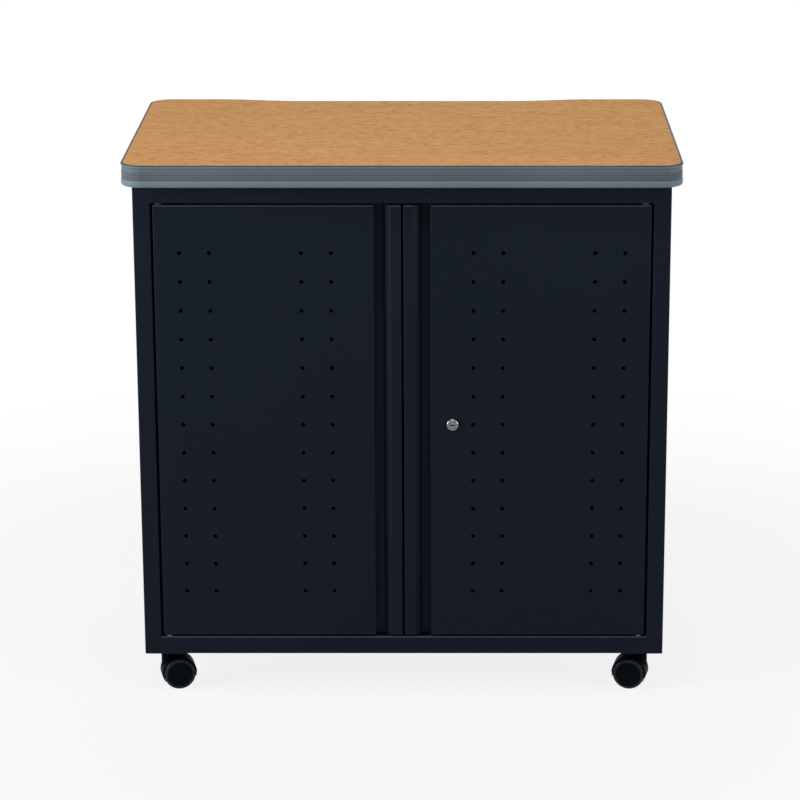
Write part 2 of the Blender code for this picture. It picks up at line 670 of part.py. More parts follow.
def make_lock(pivot):
    """A cam lock through the right door: heights run forward from the door's face."""
    x = DOOR_CENTRE_GAP / 2 + LOCK_FROM_MEETING_EDGE - pivot.location.x
    axis = add_empty("lock_axis", (x, -PIVOT_SETBACK, LOCK_HEIGHT - DOOR_BOTTOM), pivot)
    forward = (math.pi / 2, 0, 0)
    bore = LOCK_PLUG_RADIUS + LOCK_CLEARANCE
    head_back = SEAT_GAP
    head_front = SEAT_GAP + LOCK_HEAD_THICKNESS
    housing_profile = [
        (bore, -LOCK_BARREL_LENGTH),
        (LOCK_BARREL_RADIUS, -LOCK_BARREL_LENGTH),
        (LOCK_BARREL_RADIUS, head_back),
        (LOCK_HEAD_RADIUS, head_back),
        (LOCK_HEAD_RADIUS, head_front - LOCK_HEAD_BEVEL),
        (LOCK_HEAD_RADIUS - LOCK_HEAD_BEVEL, head_front),
        (bore, head_front),
    ]
    add_piece(
        "lock_housing", turned(housing_profile, LOCK_SIDES, ring=True), CHROME, axis, (0, 0, 0), forward
    )

    plug_front = head_front - LOCK_PLUG_SETBACK
    plug_profile = [
        (0, -CAM_SETBACK + SEAT_GAP),
        (LOCK_PLUG_RADIUS, -CAM_SETBACK + SEAT_GAP),
        (LOCK_PLUG_RADIUS, plug_front),
        (0, plug_front),
    ]
    plug = add_piece("lock_plug", turned(plug_profile, LOCK_SIDES), CHROME, axis, (0, 0, 0), forward)
    keyway = block(
        (-KEYWAY_LENGTH / 2, -KEYWAY_WIDTH / 2, plug_front - KEYWAY_DEPTH),
        (KEYWAY_LENGTH / 2, KEYWAY_WIDTH / 2, plug_front + CUT_OVERRUN),
    )
    combine(plug, add_piece("keyway", keyway, None, axis, (0, 0, 0), forward), "DIFFERENCE")

    nut_radius = NUT_ACROSS_CORNERS / 2
    nut_profile = [(0, 0), (nut_radius, 0), (nut_radius, NUT_THICKNESS), (0, NUT_THICKNESS)]
    nut_back = -SHEET - SEAT_GAP - NUT_THICKNESS
    nut = add_piece("lock_nut", turned(nut_profile, NUT_SIDES), ZINC, axis, (0, -nut_back, 0), forward)
    thread_radius = LOCK_BARREL_RADIUS + SEAT_GAP
    thread_profile = [
        (0, -CUT_OVERRUN),
        (thread_radius, -CUT_OVERRUN),
        (thread_radius, NUT_THICKNESS + CUT_OVERRUN),
        (0, NUT_THICKNESS + CUT_OVERRUN),
    ]
    thread = turned(thread_profile, LOCK_SIDES)
    guide = add_piece("nut_thread", thread, None, axis, (0, -nut_back, 0), forward)
    combine(nut, guide, "DIFFERENCE")

    # At rest the cam points level towards the hinge, below the strike; locked, it stands up behind it.
    end_radius = CAM_WIDTH / 2
    cam_outline = []
    for centre, start in ((CAM_LENGTH - end_radius, -math.pi / 2), (0, math.pi / 2)):
        for i in range(CORNER_STEPS + 1):
            angle = start + math.pi * i / CORNER_STEPS
            cam_outline.append((centre + end_radius * math.cos(angle), end_radius * math.sin(angle)))
    cam = prism(cam_outline, -CAM_SETBACK - CAM_THICKNESS, -CAM_SETBACK, "Z")
    add_piece("lock_cam", cam, ZINC, axis, (0, 0, 0), forward)
    screw_top = -CAM_SETBACK - CAM_THICKNESS - SEAT_GAP
    screw_profile = [
        (0, screw_top - CAM_SCREW_THICKNESS),
        (CAM_SCREW_RADIUS, screw_top - CAM_SCREW_THICKNESS),
        (CAM_SCREW_RADIUS, screw_top),
        (0, screw_top),
    ]
    add_piece("lock_cam_screw", turned(screw_profile, PIVOT_SIDES), ZINC, axis, (0, 0, 0), forward)


def make_caster_plate(name, x, y):
    """The top plate, its pressed race and the kingpin under it, riveted into one."""
    plate_top = CASTER_HEIGHT - SEAT_GAP
    plate_bottom = plate_top - PLATE_THICKNESS
    half = PLATE_SIDE / 2
    square = block((-half, -half, plate_bottom), (half, half, plate_top))
    plate = add_piece(f"{name}_caster_plate", square, ZINC, None, (x, y, 0))
    race_bottom = plate_bottom - RACE_HEIGHT
    race_profile = [
        (0, race_bottom - KINGPIN_LENGTH),
        (KINGPIN_RADIUS, race_bottom - KINGPIN_LENGTH),
        (KINGPIN_RADIUS, race_bottom),
        (RACE_RADIUS, race_bottom),
        (RACE_RADIUS, plate_bottom + PLATE_THICKNESS / 2),
        (0, plate_bottom + PLATE_THICKNESS / 2),
    ]
    race = add_piece(f"{name}_race_guide", turned(race_profile, CASTER_SIDES), None, None, (x, y, 0))
    combine(plate, race, "UNION")
    holes = bmesh.new()
    depth = 2 * (PLATE_THICKNESS + CUT_OVERRUN)
    for side_x in (-1, 1):
        for side_y in (-1, 1):
            place = (side_x * PLATE_HOLE_SPACING / 2, side_y * PLATE_HOLE_SPACING / 2, plate_bottom)
            bmesh.ops.create_cone(
                holes, cap_ends=True, segments=PLATE_HOLE_SIDES, radius1=PLATE_HOLE_RADIUS,
                radius2=PLATE_HOLE_RADIUS, depth=depth, matrix=Matrix.Translation(place),
            )
    combine(plate, add_piece(f"{name}_plate_holes", holes, None, None, (x, y, 0)), "DIFFERENCE")


def make_hood(name, swivel):
    """A moulded hood: a fender over both wheels, a web between them and a neck round the kingpin."""
    axle = (CASTER_TRAIL, 0, WHEEL_RADIUS)
    side = HOOD_WIDTH / 2
    shell_profile = [
        (0, -side),
        (HOOD_RADIUS - HOOD_SHOULDER, -side),
        (HOOD_RADIUS, HOOD_SHOULDER - side),
        (HOOD_RADIUS, side - HOOD_SHOULDER),
        (HOOD_RADIUS - HOOD_SHOULDER, side),
        (0, side),
    ]
    shell = turned(shell_profile, HOOD_SIDES)
    hood = add_piece(f"{name}_caster_hood", shell, BLACK_NYLON, swivel, axle, (-math.pi / 2, 0, 0))
    trailing_end = CASTER_TRAIL + HOOD_RADIUS + CUT_OVERRUN
    leading_end = CASTER_TRAIL - HOOD_RADIUS - CUT_OVERRUN
    underside = [
        (trailing_end, WHEEL_RADIUS - HOOD_TRAILING_TIP),
        (leading_end, WHEEL_RADIUS - HOOD_LEADING_TIP),
        (leading_end, -HOOD_RADIUS),
        (trailing_end, -HOOD_RADIUS),
    ]
    cut = prism(underside, -HOOD_WIDTH, HOOD_WIDTH, "Y")
    combine(hood, add_piece(f"{name}_underside_cut", cut, None, swivel), "DIFFERENCE")
    neck_top = CASTER_HEIGHT - SEAT_GAP - PLATE_THICKNESS - RACE_HEIGHT - SEAT_GAP
    neck_profile = [
        (0, WHEEL_RADIUS),
        (HOOD_NECK_RADIUS, WHEEL_RADIUS),
        (HOOD_NECK_RADIUS, neck_top),
        (0, neck_top),
    ]
    neck = turned(neck_profile, CASTER_SIDES)
    combine(hood, add_piece(f"{name}_neck_guide", neck, None, swivel), "UNION")

    well_radius = HOOD_RADIUS - HOOD_WALL
    for well, start, end in (
        ("near", -HOOD_WIDTH, -HOOD_WEB / 2),
        ("far", HOOD_WEB / 2, HOOD_WIDTH),
    ):
        well_profile = [(0, start), (well_radius, start), (well_radius, end), (0, end)]
        cutter = turned(well_profile, HOOD_SIDES)
        guide = add_piece(f"{name}_{well}_well", cutter, None, swivel, axle, (-math.pi / 2, 0, 0))
        combine(hood, guide, "DIFFERENCE")
    bore_radius = KINGPIN_RADIUS + KINGPIN_CLEARANCE
    bore_bottom = neck_top - KINGPIN_LENGTH - SEAT_GAP
    bore_profile = [
        (0, bore_bottom),
        (bore_radius, bore_bottom),
        (bore_radius, neck_top + CUT_OVERRUN),
        (0, neck_top + CUT_OVERRUN),
    ]
    bore = turned(bore_profile, CASTER_SIDES)
    combine(hood, add_piece(f"{name}_kingpin_bore", bore, None, swivel), "DIFFERENCE")
    eye_radius = AXLE_RADIUS + AXLE_CLEARANCE
    eye_profile = [(0, -HOOD_WEB), (eye_radius, -HOOD_WEB), (eye_radius, HOOD_WEB), (0, HOOD_WEB)]
    eye = turned(eye_profile, PIVOT_SIDES)
    guide = add_piece(f"{name}_axle_eye", eye, None, swivel, axle, (-math.pi / 2, 0, 0))
    combine(hood, guide, "DIFFERENCE")


def make_wheels(name, swivel):
    """Two wheels on one axle: each has a rounded rim, a level outer face and a blind bore."""
    place = (CASTER_TRAIL, 0, WHEEL_RADIUS)
    hub_start = HOOD_WEB / 2 + HOOD_WEB_GAP
    axle_end = hub_start + WHEEL_BORE_DEPTH - SEAT_GAP
    axle_profile = [(0, -axle_end), (AXLE_RADIUS, -axle_end), (AXLE_RADIUS, axle_end), (0, axle_end)]
    add_piece(
        f"{name}_caster_axle", turned(axle_profile, PIVOT_SIDES), STEEL, swivel, place, (-math.pi / 2, 0, 0)
    )

    # The tread's flats lie on the rolling radius, so its corners stand a little outside it.
    tread = WHEEL_RADIUS / math.cos(math.pi / CASTER_SIDES)
    face_height = hub_start + WHEEL_WIDTH
    bore = AXLE_RADIUS + AXLE_CLEARANCE
    face_floor = face_height - WHEEL_FACE_SETBACK
    wheel_profile = [(0, face_floor), (WHEEL_FACE_RADIUS, face_floor)]
    for i in range(WHEEL_RIM_STEPS + 1):
        angle = math.pi / 2 * (1 - i / WHEEL_RIM_STEPS)
        wheel_profile.append((
            tread - WHEEL_RIM_ROUNDING * (1 - math.cos(angle)),
            face_height - WHEEL_RIM_ROUNDING * (1 - math.sin(angle)),
        ))
    wheel_profile += [
        (tread, hub_start),
        (bore, hub_start),
        (bore, hub_start + WHEEL_BORE_DEPTH),
        (0, hub_start + WHEEL_BORE_DEPTH),
    ]
    for wheel, tilt in (("near", math.pi / 2), ("far", -math.pi / 2)):
        add_piece(
            f"{name}_caster_{wheel}_wheel",
            turned(wheel_profile, CASTER_SIDES, flats_down=True),
            BLACK_NYLON,
            swivel,
            place,
            (tilt, 0, 0),
        )


def make_casters():
    for name, yaw in CASTER_YAWS.items():
        depth_end, side_end = name.split("_")
        x = SIDES[side_end] * (CABINET_SIDE - CASTER_INSET)
        y = FRONT + CASTER_INSET if depth_end == "front" else BACK - CASTER_INSET
        make_caster_plate(name, x, y)
        swivel = add_empty(f"{name}_caster_swivel", (x, y, 0), None, math.radians(yaw))
        make_hood(name, swivel)
        make_wheels(name, swivel)


for old in list(bpy.data.objects):
    bpy.data.objects.remove(old, do_unlink=True)

POWDER_COAT = finish("navy_powder_coat", "1b212b", 0.45, 0)
LAMINATE = finish("oak_laminate", "c08f5f", 0.5, 0)
BOARD = finish("particle_board", "b69a72", 0.85, 0)
VINYL = finish("grey_blue_vinyl", "5f6a72", 0.5, 0)
CHROME = finish("chrome_plate", "d0d2d4", 0.12, 1)
ZINC = finish("zinc_plate", "a4a8ab", 0.35, 1)
STEEL = finish("bright_steel", "b4b6b8", 0.3, 1)
BLACK_NYLON = finish("black_nylon", "0b0d11", 0.3, 0)
WHITE_NYLON = finish("white_nylon", "d9d7cd", 0.45, 0)
CATCH_PLASTIC = finish("catch_plastic", "2a2622", 0.5, 0)

make_worktop()
make_back_panel()
make_base()
make_top_frame()
make_shelf()
for side_name, side_sign in SIDES.items():
    make_side_panel(side_name, side_sign)
    hinge_x = side_sign * (STILE_INNER - DOOR_SIDE_GAP - PIVOT_INSET)
    door_pivot = add_empty(f"{side_name}_door_pivot", (hinge_x, FRONT + PIVOT_SETBACK, DOOR_BOTTOM))
    make_door(side_name, side_sign, door_pivot)
    make_pivots(side_name, side_sign, door_pivot)
    make_catch(side_name, side_sign, door_pivot)
    if side_name == "right":
        make_lock(door_pivot)
make_casters()
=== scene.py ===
"""Looks of a mobile table: a navy-black sheet steel cabinet on casters under an oak laminate worktop.

Metres, +Z up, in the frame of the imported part: the doors face -Y and the floor is at z = 0.
"""

import json
import math

import bmesh
import bpy
from mathutils import Matrix, Vector

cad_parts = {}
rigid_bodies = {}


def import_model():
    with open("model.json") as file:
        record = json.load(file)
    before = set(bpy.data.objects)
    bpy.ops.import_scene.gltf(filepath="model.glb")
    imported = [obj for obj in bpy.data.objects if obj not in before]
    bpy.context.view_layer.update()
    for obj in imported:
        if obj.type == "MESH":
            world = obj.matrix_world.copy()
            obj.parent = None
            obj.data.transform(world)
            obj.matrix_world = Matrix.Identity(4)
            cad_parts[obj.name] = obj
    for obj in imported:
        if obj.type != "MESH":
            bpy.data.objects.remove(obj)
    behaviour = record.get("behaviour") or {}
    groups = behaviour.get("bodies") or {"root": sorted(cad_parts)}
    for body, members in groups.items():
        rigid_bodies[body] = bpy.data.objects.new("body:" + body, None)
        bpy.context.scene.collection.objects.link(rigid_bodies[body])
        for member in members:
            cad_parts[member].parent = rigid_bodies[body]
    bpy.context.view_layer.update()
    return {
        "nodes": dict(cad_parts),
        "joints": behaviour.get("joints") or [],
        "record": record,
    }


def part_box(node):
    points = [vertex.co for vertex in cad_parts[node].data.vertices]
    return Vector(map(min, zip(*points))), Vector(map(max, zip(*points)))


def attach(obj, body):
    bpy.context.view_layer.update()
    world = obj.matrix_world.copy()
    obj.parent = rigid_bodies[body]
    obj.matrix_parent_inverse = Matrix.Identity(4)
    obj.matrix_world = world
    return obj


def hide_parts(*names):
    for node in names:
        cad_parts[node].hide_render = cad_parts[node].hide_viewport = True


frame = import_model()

for leftover in [o for o in bpy.data.objects if o.name in ("Camera", "Cube", "Light")]:
    bpy.data.objects.remove(leftover)

# The carcass: base pan, caster channels, side and back panels, top frame, shelf and its angles.
# Cold-rolled sheet steel, bent and spot-welded, then powder coated as one piece in navy black. The powder
# is satin with a fine orange peel. The bends that look up to the front get a paler line, a painted
# highlight.
NAVY = "151c27"
NAVY_DEEP = "111822"
NAVY_PAINTED_HIGHLIGHT = "434b5e"
COAT_SMOOTH = 0.40
COAT_DULL = 0.52
COAT_DRIFT_LENGTH = 0.35
ORANGE_PEEL_SPACING = 0.0014
ORANGE_PEEL_HEIGHT = 0.0001
# Most of a noise lies between these two levels.
NOISE_LOW = 0.3
NOISE_HIGH = 0.7
# A bend gets the painted highlight where its normal rises by between these two amounts.
HIGHLIGHT_FROM = 0.35
HIGHLIGHT_TO = 0.98
CARCASS_NODES = (
    "base_pan", "left_caster_channel", "right_caster_channel", "left_side_panel", "right_side_panel",
    "back_panel", "top_front_rail", "top_rear_rail", "left_top_cleat", "right_top_cleat", "fixed_shelf",
    "left_shelf_angle", "right_shelf_angle", "left_door_stiffener", "right_door_stiffener",
)
# The front rails are welded to the stiles and ground flush, so their ends reach over the stiles' bends.
WELDED_RAILS = ("base_pan", "top_front_rail")
SHEET = 0.0012
BEND_RADIUS = 0.0024
WELD_LAP = 0.0027
NEAR = 0.0002
MERGE = 0.000004
SMOOTH_ANGLE = math.radians(32)
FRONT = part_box("left_side_panel")[0].y


def linear(hex_colour):
    """The linear colour, with full alpha, of an sRGB colour written as six hex digits."""
    channels = [int(hex_colour[i : i + 2], 16) / 255 for i in (0, 2, 4)]
    return [c / 12.92 if c <= 0.04045 else ((c + 0.055) / 1.055) ** 2.4 for c in channels] + [1]


def add_node(tree, kind, inputs=None, **settings):
    """Adds a node with its settings; each input is given a value, or is linked to a socket."""
    node = tree.nodes.new(kind)
    for name, value in settings.items():
        setattr(node, name, value)
    for key, value in (inputs or {}).items():
        if isinstance(value, bpy.types.NodeSocket):
            tree.links.new(value, node.inputs[key])
        else:
            node.inputs[key].default_value = value
    return node


def new_material(name):
    """An empty material with its node tree, its shader and the Object coordinates."""
    material = bpy.data.materials.new(name)
    material.use_nodes = True
    tree = material.node_tree
    place = add_node(tree, "ShaderNodeTexCoord").outputs["Object"]
    return material, tree, tree.nodes["Principled BSDF"], place


def vary_gloss(tree, shader, pattern, smooth, dull):
    """Takes the surface from smooth to dull as the pattern rises."""
    roughness = add_node(tree, "ShaderNodeMapRange", {
        "Value": pattern, "From Min": NOISE_LOW, "From Max": NOISE_HIGH, "To Min": smooth, "To Max": dull,
    })
    tree.links.new(roughness.outputs["Result"], shader.inputs["Roughness"])


def powder_coat():
    material, tree, shader, place = new_material("navy powder coat on steel")
    drift = add_node(
        tree, "ShaderNodeTexNoise", {"Vector": place, "Scale": 1 / COAT_DRIFT_LENGTH, "Detail": 3}
    ).outputs["Fac"]
    colour = add_node(
        tree, "ShaderNodeMix", {"Factor": drift, "A": linear(NAVY_DEEP), "B": linear(NAVY)}, data_type="RGBA"
    ).outputs["Result"]
    # The faces marked by the attribute get a paler colour, a painted highlight.
    painted_highlight = add_node(tree, "ShaderNodeAttribute", attribute_name="painted_highlight").outputs["Fac"]
    coat = add_node(
        tree, "ShaderNodeMix", {"Factor": painted_highlight, "A": colour, "B": linear(NAVY_PAINTED_HIGHLIGHT)}, data_type="RGBA"
    )
    tree.links.new(coat.outputs["Result"], shader.inputs["Base Color"])
    peel = add_node(
        tree, "ShaderNodeTexNoise", {"Vector": place, "Scale": 1 / ORANGE_PEEL_SPACING, "Detail": 1}
    ).outputs["Fac"]
    vary_gloss(tree, shader, peel, COAT_SMOOTH, COAT_DULL)
    bump = add_node(
        tree, "ShaderNodeBump", {"Height": peel, "Strength": 0.12, "Distance": ORANGE_PEEL_HEIGHT}
    )
    tree.links.new(bump.outputs["Normal"], shader.inputs["Normal"])
    shader.inputs["Specular IOR Level"].default_value = 0.06
    return material


def take(piece):
    """Makes the piece the only one that is selected."""
    bpy.ops.object.select_all(action="DESELECT")
    piece.select_set(True)
    bpy.context.view_layer.objects.active = piece


def pick(kind, test):
    """Selects the open piece's corners, edges or faces that pass the test."""
    bpy.ops.mesh.select_mode(type=kind)
    bpy.ops.mesh.select_all(action="DESELECT")
    mesh = bmesh.from_edit_mesh(bpy.context.object.data)
    items = {"VERT": mesh.verts, "EDGE": mesh.edges, "FACE": mesh.faces}[kind]
    for item in items:
        if test(item):
            item.select_set(True)
    mesh.select_flush_mode()
    bmesh.update_edit_mesh(bpy.context.object.data)


def close_up():
    """Joins the doubles of the open piece and turns its faces outwards."""
    bpy.ops.mesh.select_all(action="SELECT")
    bpy.ops.mesh.remove_doubles(threshold=MERGE)
    bpy.ops.mesh.normals_make_consistent(inside=False)
    bpy.ops.object.mode_set(mode="OBJECT")


def apply_modifier(piece, kind, **settings):
    """Gives the piece a modifier with its settings and applies it."""
    take(piece)
    modifier = piece.modifiers.new(kind.lower(), kind)
    for name, value in settings.items():
        setattr(modifier, name, value)
    bpy.ops.object.modifier_apply(modifier=modifier.name)


def placed_copy(piece, name, matrix):
    """A copy with a mesh of its own, moved to its place by the matrix."""
    twin = piece.copy()
    twin.data = piece.data.copy()
    twin.name = name
    bpy.context.collection.objects.link(twin)
    twin.data.transform(matrix)
    if matrix.is_negative:
        twin.data.flip_normals()
    return twin


def fit_piece(piece, body, slot, material, *replaced):
    """Shades a finished piece, dresses it, and lets it ride on its body in the place of CAD nodes."""
    take(piece)
    bpy.ops.object.shade_smooth_by_angle(angle=SMOOTH_ANGLE)
    apply_modifier(piece, "WEIGHTED_NORMAL", keep_sharp=True)
    piece.data.materials.clear()
    piece.data.materials.append(material)
    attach(piece, body)
    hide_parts(*replaced)


def mark_painted_highlight(piece, is_rubbed):
    """Marks the faces that pass the test for the material's painted highlight."""
    marks = piece.data.attributes.new("painted_highlight", "FLOAT", "FACE")
    for face, mark in zip(piece.data.polygons, marks.data):
        mark.value = float(is_rubbed(face))


# The bends that look up to the front, which get the painted highlight.
def is_upper_bend(face):
    return HIGHLIGHT_FROM < face.normal.z < HIGHLIGHT_TO and face.normal.y < 0


POWDER_COAT = powder_coat()
BODY_OF = {node: body for body, nodes in frame["record"]["behaviour"]["bodies"].items() for node in nodes}
for name in CARCASS_NODES:
    panel = placed_copy(frame["nodes"][name], f"{name}_sheet", Matrix())
    take(panel)
    bpy.ops.mesh.customdata_custom_splitnormals_clear()
    bpy.ops.object.mode_set(mode="EDIT")
    close_up()
    if name in WELDED_RAILS:
        end = max(v.co.x for v in panel.data.vertices if v.co.y < FRONT + BEND_RADIUS)
        bpy.ops.object.mode_set(mode="EDIT")
        for side in (-1, 1):
            pick("VERT", lambda v: abs(v.co.x - side * end) < NEAR)
            bpy.ops.transform.translate(value=(side * WELD_LAP, 0, 0))
        bpy.ops.object.mode_set(mode="OBJECT")
    # The bends that look up to the front are marked for the painted highlight.
    mark_painted_highlight(panel, is_upper_bend)
    fit_piece(panel, BODY_OF[name], "powder_coat", POWDER_COAT, name)

# Pivot pins, catch plates and the lock's nut, cam and strike: mild steel, blanked or turned, then barrel
# zinc plated to a cool grey that is cloudy over a few millimetres and only half bright. The pins are
# passivated blue. The upper pins are painted darker, a painted shade, and the lower ones paler, a painted
# highlight.
ZINC_LIGHT = "a9adb0"
ZINC_DARK = "8f9498"
LOWER_PIN_LIT_BLUE = "c4d8ea"
LOWER_PIN_LIT_ZINC = "9aaec0"
UPPER_PIN_SHADED_BLUE = "48526b"
UPPER_PIN_SHADED_ZINC = "3a4356"
ZINC_CLOUD_SIZE = 0.004
ZINC_SMOOTH = 0.28
ZINC_DULL = 0.42
UPPER_PINS = ("left_upper_pivot_pin", "right_upper_pivot_pin")
LOWER_PINS = ("left_lower_pivot_pin", "right_lower_pivot_pin")
ZINC_NODES = (
    "left_catch_plate", "right_catch_plate", "lock_nut", "lock_cam", "lock_cam_screw", "lock_strike",
)


def mottled_material(name, dark, light, size, detail):
    """A material mottled from dark to light by noise of this size, its tree, its shader and the noise."""
    material, tree, shader, place = new_material(name)
    mottle = add_node(
        tree, "ShaderNodeTexNoise", {"Vector": place, "Scale": 1 / size, "Detail": detail}
    ).outputs["Fac"]
    colour = add_node(
        tree, "ShaderNodeMix", {"Factor": mottle, "A": linear(dark), "B": linear(light)}, data_type="RGBA"
    )
    tree.links.new(colour.outputs["Result"], shader.inputs["Base Color"])
    return material, tree, shader, mottle


def zinc_plate(name, dark, light):
    material, tree, shader, cloud = mottled_material(name, dark, light, ZINC_CLOUD_SIZE, detail=4)
    vary_gloss(tree, shader, cloud, ZINC_SMOOTH, ZINC_DULL)
    shader.inputs["Metallic"].default_value = 1
    return material


def dress(material, *names):
    """Gives CAD nodes that stay as they are their material."""
    for name in names:
        node = frame["nodes"][name]
        node.data.materials.clear()
        node.data.materials.append(material)


ZINC = zinc_plate("zinc plated steel", ZINC_DARK, ZINC_LIGHT)
dress(ZINC, *ZINC_NODES)
# Lower pins paler as a painted highlight, upper pins darker as painted shade.
dress(zinc_plate("lower pin zinc, painted highlight", LOWER_PIN_LIT_ZINC, LOWER_PIN_LIT_BLUE), *LOWER_PINS)
dress(zinc_plate("upper pin zinc, painted shade", UPPER_PIN_SHADED_ZINC, UPPER_PIN_SHADED_BLUE), *UPPER_PINS)

# Caster plates: pressed steel with the kingpin riveted in, phosphated dark against rust.
# The phosphate is a fine, dull crystal coat, almost black under the cabinet.
PHOSPHATE_DARK = "24272a"
PHOSPHATE_PALE = "33373b"
PHOSPHATE_GRAIN = 0.0012
PHOSPHATE_HEIGHT = 0.00005


def phosphate():
    material, tree, shader, grain = mottled_material(
        "phosphated steel", PHOSPHATE_DARK, PHOSPHATE_PALE, PHOSPHATE_GRAIN, detail=3
    )
    bump = add_node(tree, "ShaderNodeBump", {"Height": grain, "Strength": 0.2, "Distance": PHOSPHATE_HEIGHT})
    tree.links.new(bump.outputs["Normal"], shader.inputs["Normal"])
    shader.inputs["Roughness"].default_value = 0.7
    shader.inputs["Specular IOR Level"].default_value = 0.1
    return material


PHOSPHATE = phosphate()
dress(PHOSPHATE, *[name for name in frame["nodes"] if name.endswith("_caster_plate")])

# Axles: cold drawn steel rod, cut to length and left bright.
# The drawn skin's marks are finer than shows here, so they are a mottle of 0.3 mm.
STEEL_BRIGHT = "b9bbbd"
STEEL_SHADE = "a1a4a7"
DRAWN_MARK_SIZE = 0.0003


def drawn_steel():
    material, _, shader, _ = mottled_material(
        "bright drawn steel", STEEL_SHADE, STEEL_BRIGHT, DRAWN_MARK_SIZE, detail=2
    )
    shader.inputs["Metallic"].default_value = 1
    shader.inputs["Roughness"].default_value = 0.25
    return material


AXLE_NODES = [name for name in frame["nodes"] if name.endswith("_caster_axle")]
dress(drawn_steel(), *AXLE_NODES)

# Caster wheels: two discs on each axle, moulded of black nylon and polished by the mould.
# Each has a flat outer face sunk in a rounded rim, a tread with two grooves and a hollow inner side.
# The rim and the tread are painted a paler blue-grey round the black face, a painted sheen.
NYLON_BLACK = "06080c"
NYLON_SCUFFED = "0e1117"
NYLON_PAINTED_SHEEN = "25313d"
SCUFF_SIZE = 0.006
SCUFF_FROM = 0.55
SCUFF_FULL = 0.8
WHEEL_RADIUS = 0.028
WHEEL_WIDTH = 0.0185
WHEEL_FROM_MIDDLE = 0.0036
FACE_RADIUS = 0.0226
FACE_SINK = 0.0006
RIM_ROUNDING = 0.0045
RIM_STEPS = 8
GROOVE_FROM_MIDDLE = 0.0024
GROOVE_HALF_WIDTH = 0.0012
GROOVE_FLOOR_HALF_WIDTH = 0.0004
GROOVE_DEPTH = 0.0004
WHEEL_EASING = 0.0004
HUB_RADIUS = 0.0085
HOLLOW_DEPTH = 0.009
HOLLOW_OUTER_RADIUS = 0.0245
AXLE_BORE = 0.0032
AXLE_BORE_DEPTH = 0.014
WHEEL_SIDES = 96


def black_nylon(name, smooth, dull, shine):
    """Black nylon with its least and greatest roughness and its specular level."""
    material, tree, shader, place = new_material(name)
    scuff = add_node(
        tree, "ShaderNodeTexNoise", {"Vector": place, "Scale": 1 / SCUFF_SIZE, "Detail": 5}
    ).outputs["Fac"]
    worn = add_node(
        tree, "ShaderNodeMapRange", {"Value": scuff, "From Min": SCUFF_FROM, "From Max": SCUFF_FULL}
    ).outputs["Result"]
    colour = add_node(
        tree, "ShaderNodeMix",
        {"Factor": worn, "A": linear(NYLON_BLACK), "B": linear(NYLON_SCUFFED)},
        data_type="RGBA",
    ).outputs["Result"]
    # Marked faces get a paler blue-grey, a painted sheen.
    painted_highlight = add_node(tree, "ShaderNodeAttribute", attribute_name="painted_highlight").outputs["Fac"]
    skin = add_node(
        tree, "ShaderNodeMix", {"Factor": painted_highlight, "A": colour, "B": linear(NYLON_PAINTED_SHEEN)}, data_type="RGBA"
    )
    tree.links.new(skin.outputs["Result"], shader.inputs["Base Color"])
    gloss = add_node(tree, "ShaderNodeMapRange", {"Value": worn, "To Min": smooth, "To Max": dull})
    tree.links.new(gloss.outputs["Result"], shader.inputs["Roughness"])
    shader.inputs["Specular IOR Level"].default_value = shine
    return material


WHEEL_NYLON = black_nylon("polished black nylon", smooth=0.1, dull=0.24, shine=0.035)


def open_piece(name):
    """Names the primitive that was just added, applies its place and opens it in edit mode."""
    piece = bpy.context.object
    piece.name = name
    bpy.ops.object.transform_apply(location=True, rotation=True, scale=True)
    bpy.ops.object.mode_set(mode="EDIT")
    return piece


def draw_section(name, points, closed=True):
    """A section: a circle with a corner for each point, each of them moved to its place."""
    bpy.ops.object.select_all(action="DESELECT")
    bpy.ops.mesh.primitive_circle_add(vertices=len(points))
    piece = open_piece(name)
    mesh = bmesh.from_edit_mesh(piece.data)
    mesh.verts.ensure_lookup_table()
    for corner, point in zip(mesh.verts, points):
        corner.co = point
    if not closed:
        ends = {mesh.verts[0], mesh.verts[len(points) - 1]}
        bmesh.update_edit_mesh(piece.data)
        pick("EDGE", lambda edge: set(edge.verts) == ends)
        bpy.ops.mesh.delete(type="EDGE")
    bpy.ops.mesh.select_all(action="SELECT")
    return piece


def turn_section(name, points, sides, closed=False):
    """A turned piece: (radius, height) points spun round the Z axis, where open sections start and end."""
    piece = draw_section(name, [(radius, 0, height) for radius, height in points], closed)
    bpy.ops.mesh.spin(steps=sides, angle=math.tau, center=(0, 0, 0), axis=(0, 0, 1))
    close_up()
    return piece


rim_face = WHEEL_FROM_MIDDLE + WHEEL_WIDTH
tread_middle = WHEEL_FROM_MIDDLE + (WHEEL_WIDTH - RIM_ROUNDING) / 2
wheel_points = [
    (0, rim_face - FACE_SINK),
    (FACE_RADIUS - FACE_SINK, rim_face - FACE_SINK),
    (FACE_RADIUS, rim_face),
]
for step in range(RIM_STEPS + 1):
    angle = math.pi / 2 * (1 - step / RIM_STEPS)
    wheel_points.append((
        WHEEL_RADIUS - RIM_ROUNDING * (1 - math.cos(angle)),
        rim_face - RIM_ROUNDING * (1 - math.sin(angle)),
    ))
for groove in (tread_middle + GROOVE_FROM_MIDDLE, tread_middle - GROOVE_FROM_MIDDLE):
    wheel_points += [
        (WHEEL_RADIUS, groove + GROOVE_HALF_WIDTH),
        (WHEEL_RADIUS - GROOVE_DEPTH, groove + GROOVE_FLOOR_HALF_WIDTH),
        (WHEEL_RADIUS - GROOVE_DEPTH, groove - GROOVE_FLOOR_HALF_WIDTH),
        (WHEEL_RADIUS, groove - GROOVE_HALF_WIDTH),
    ]
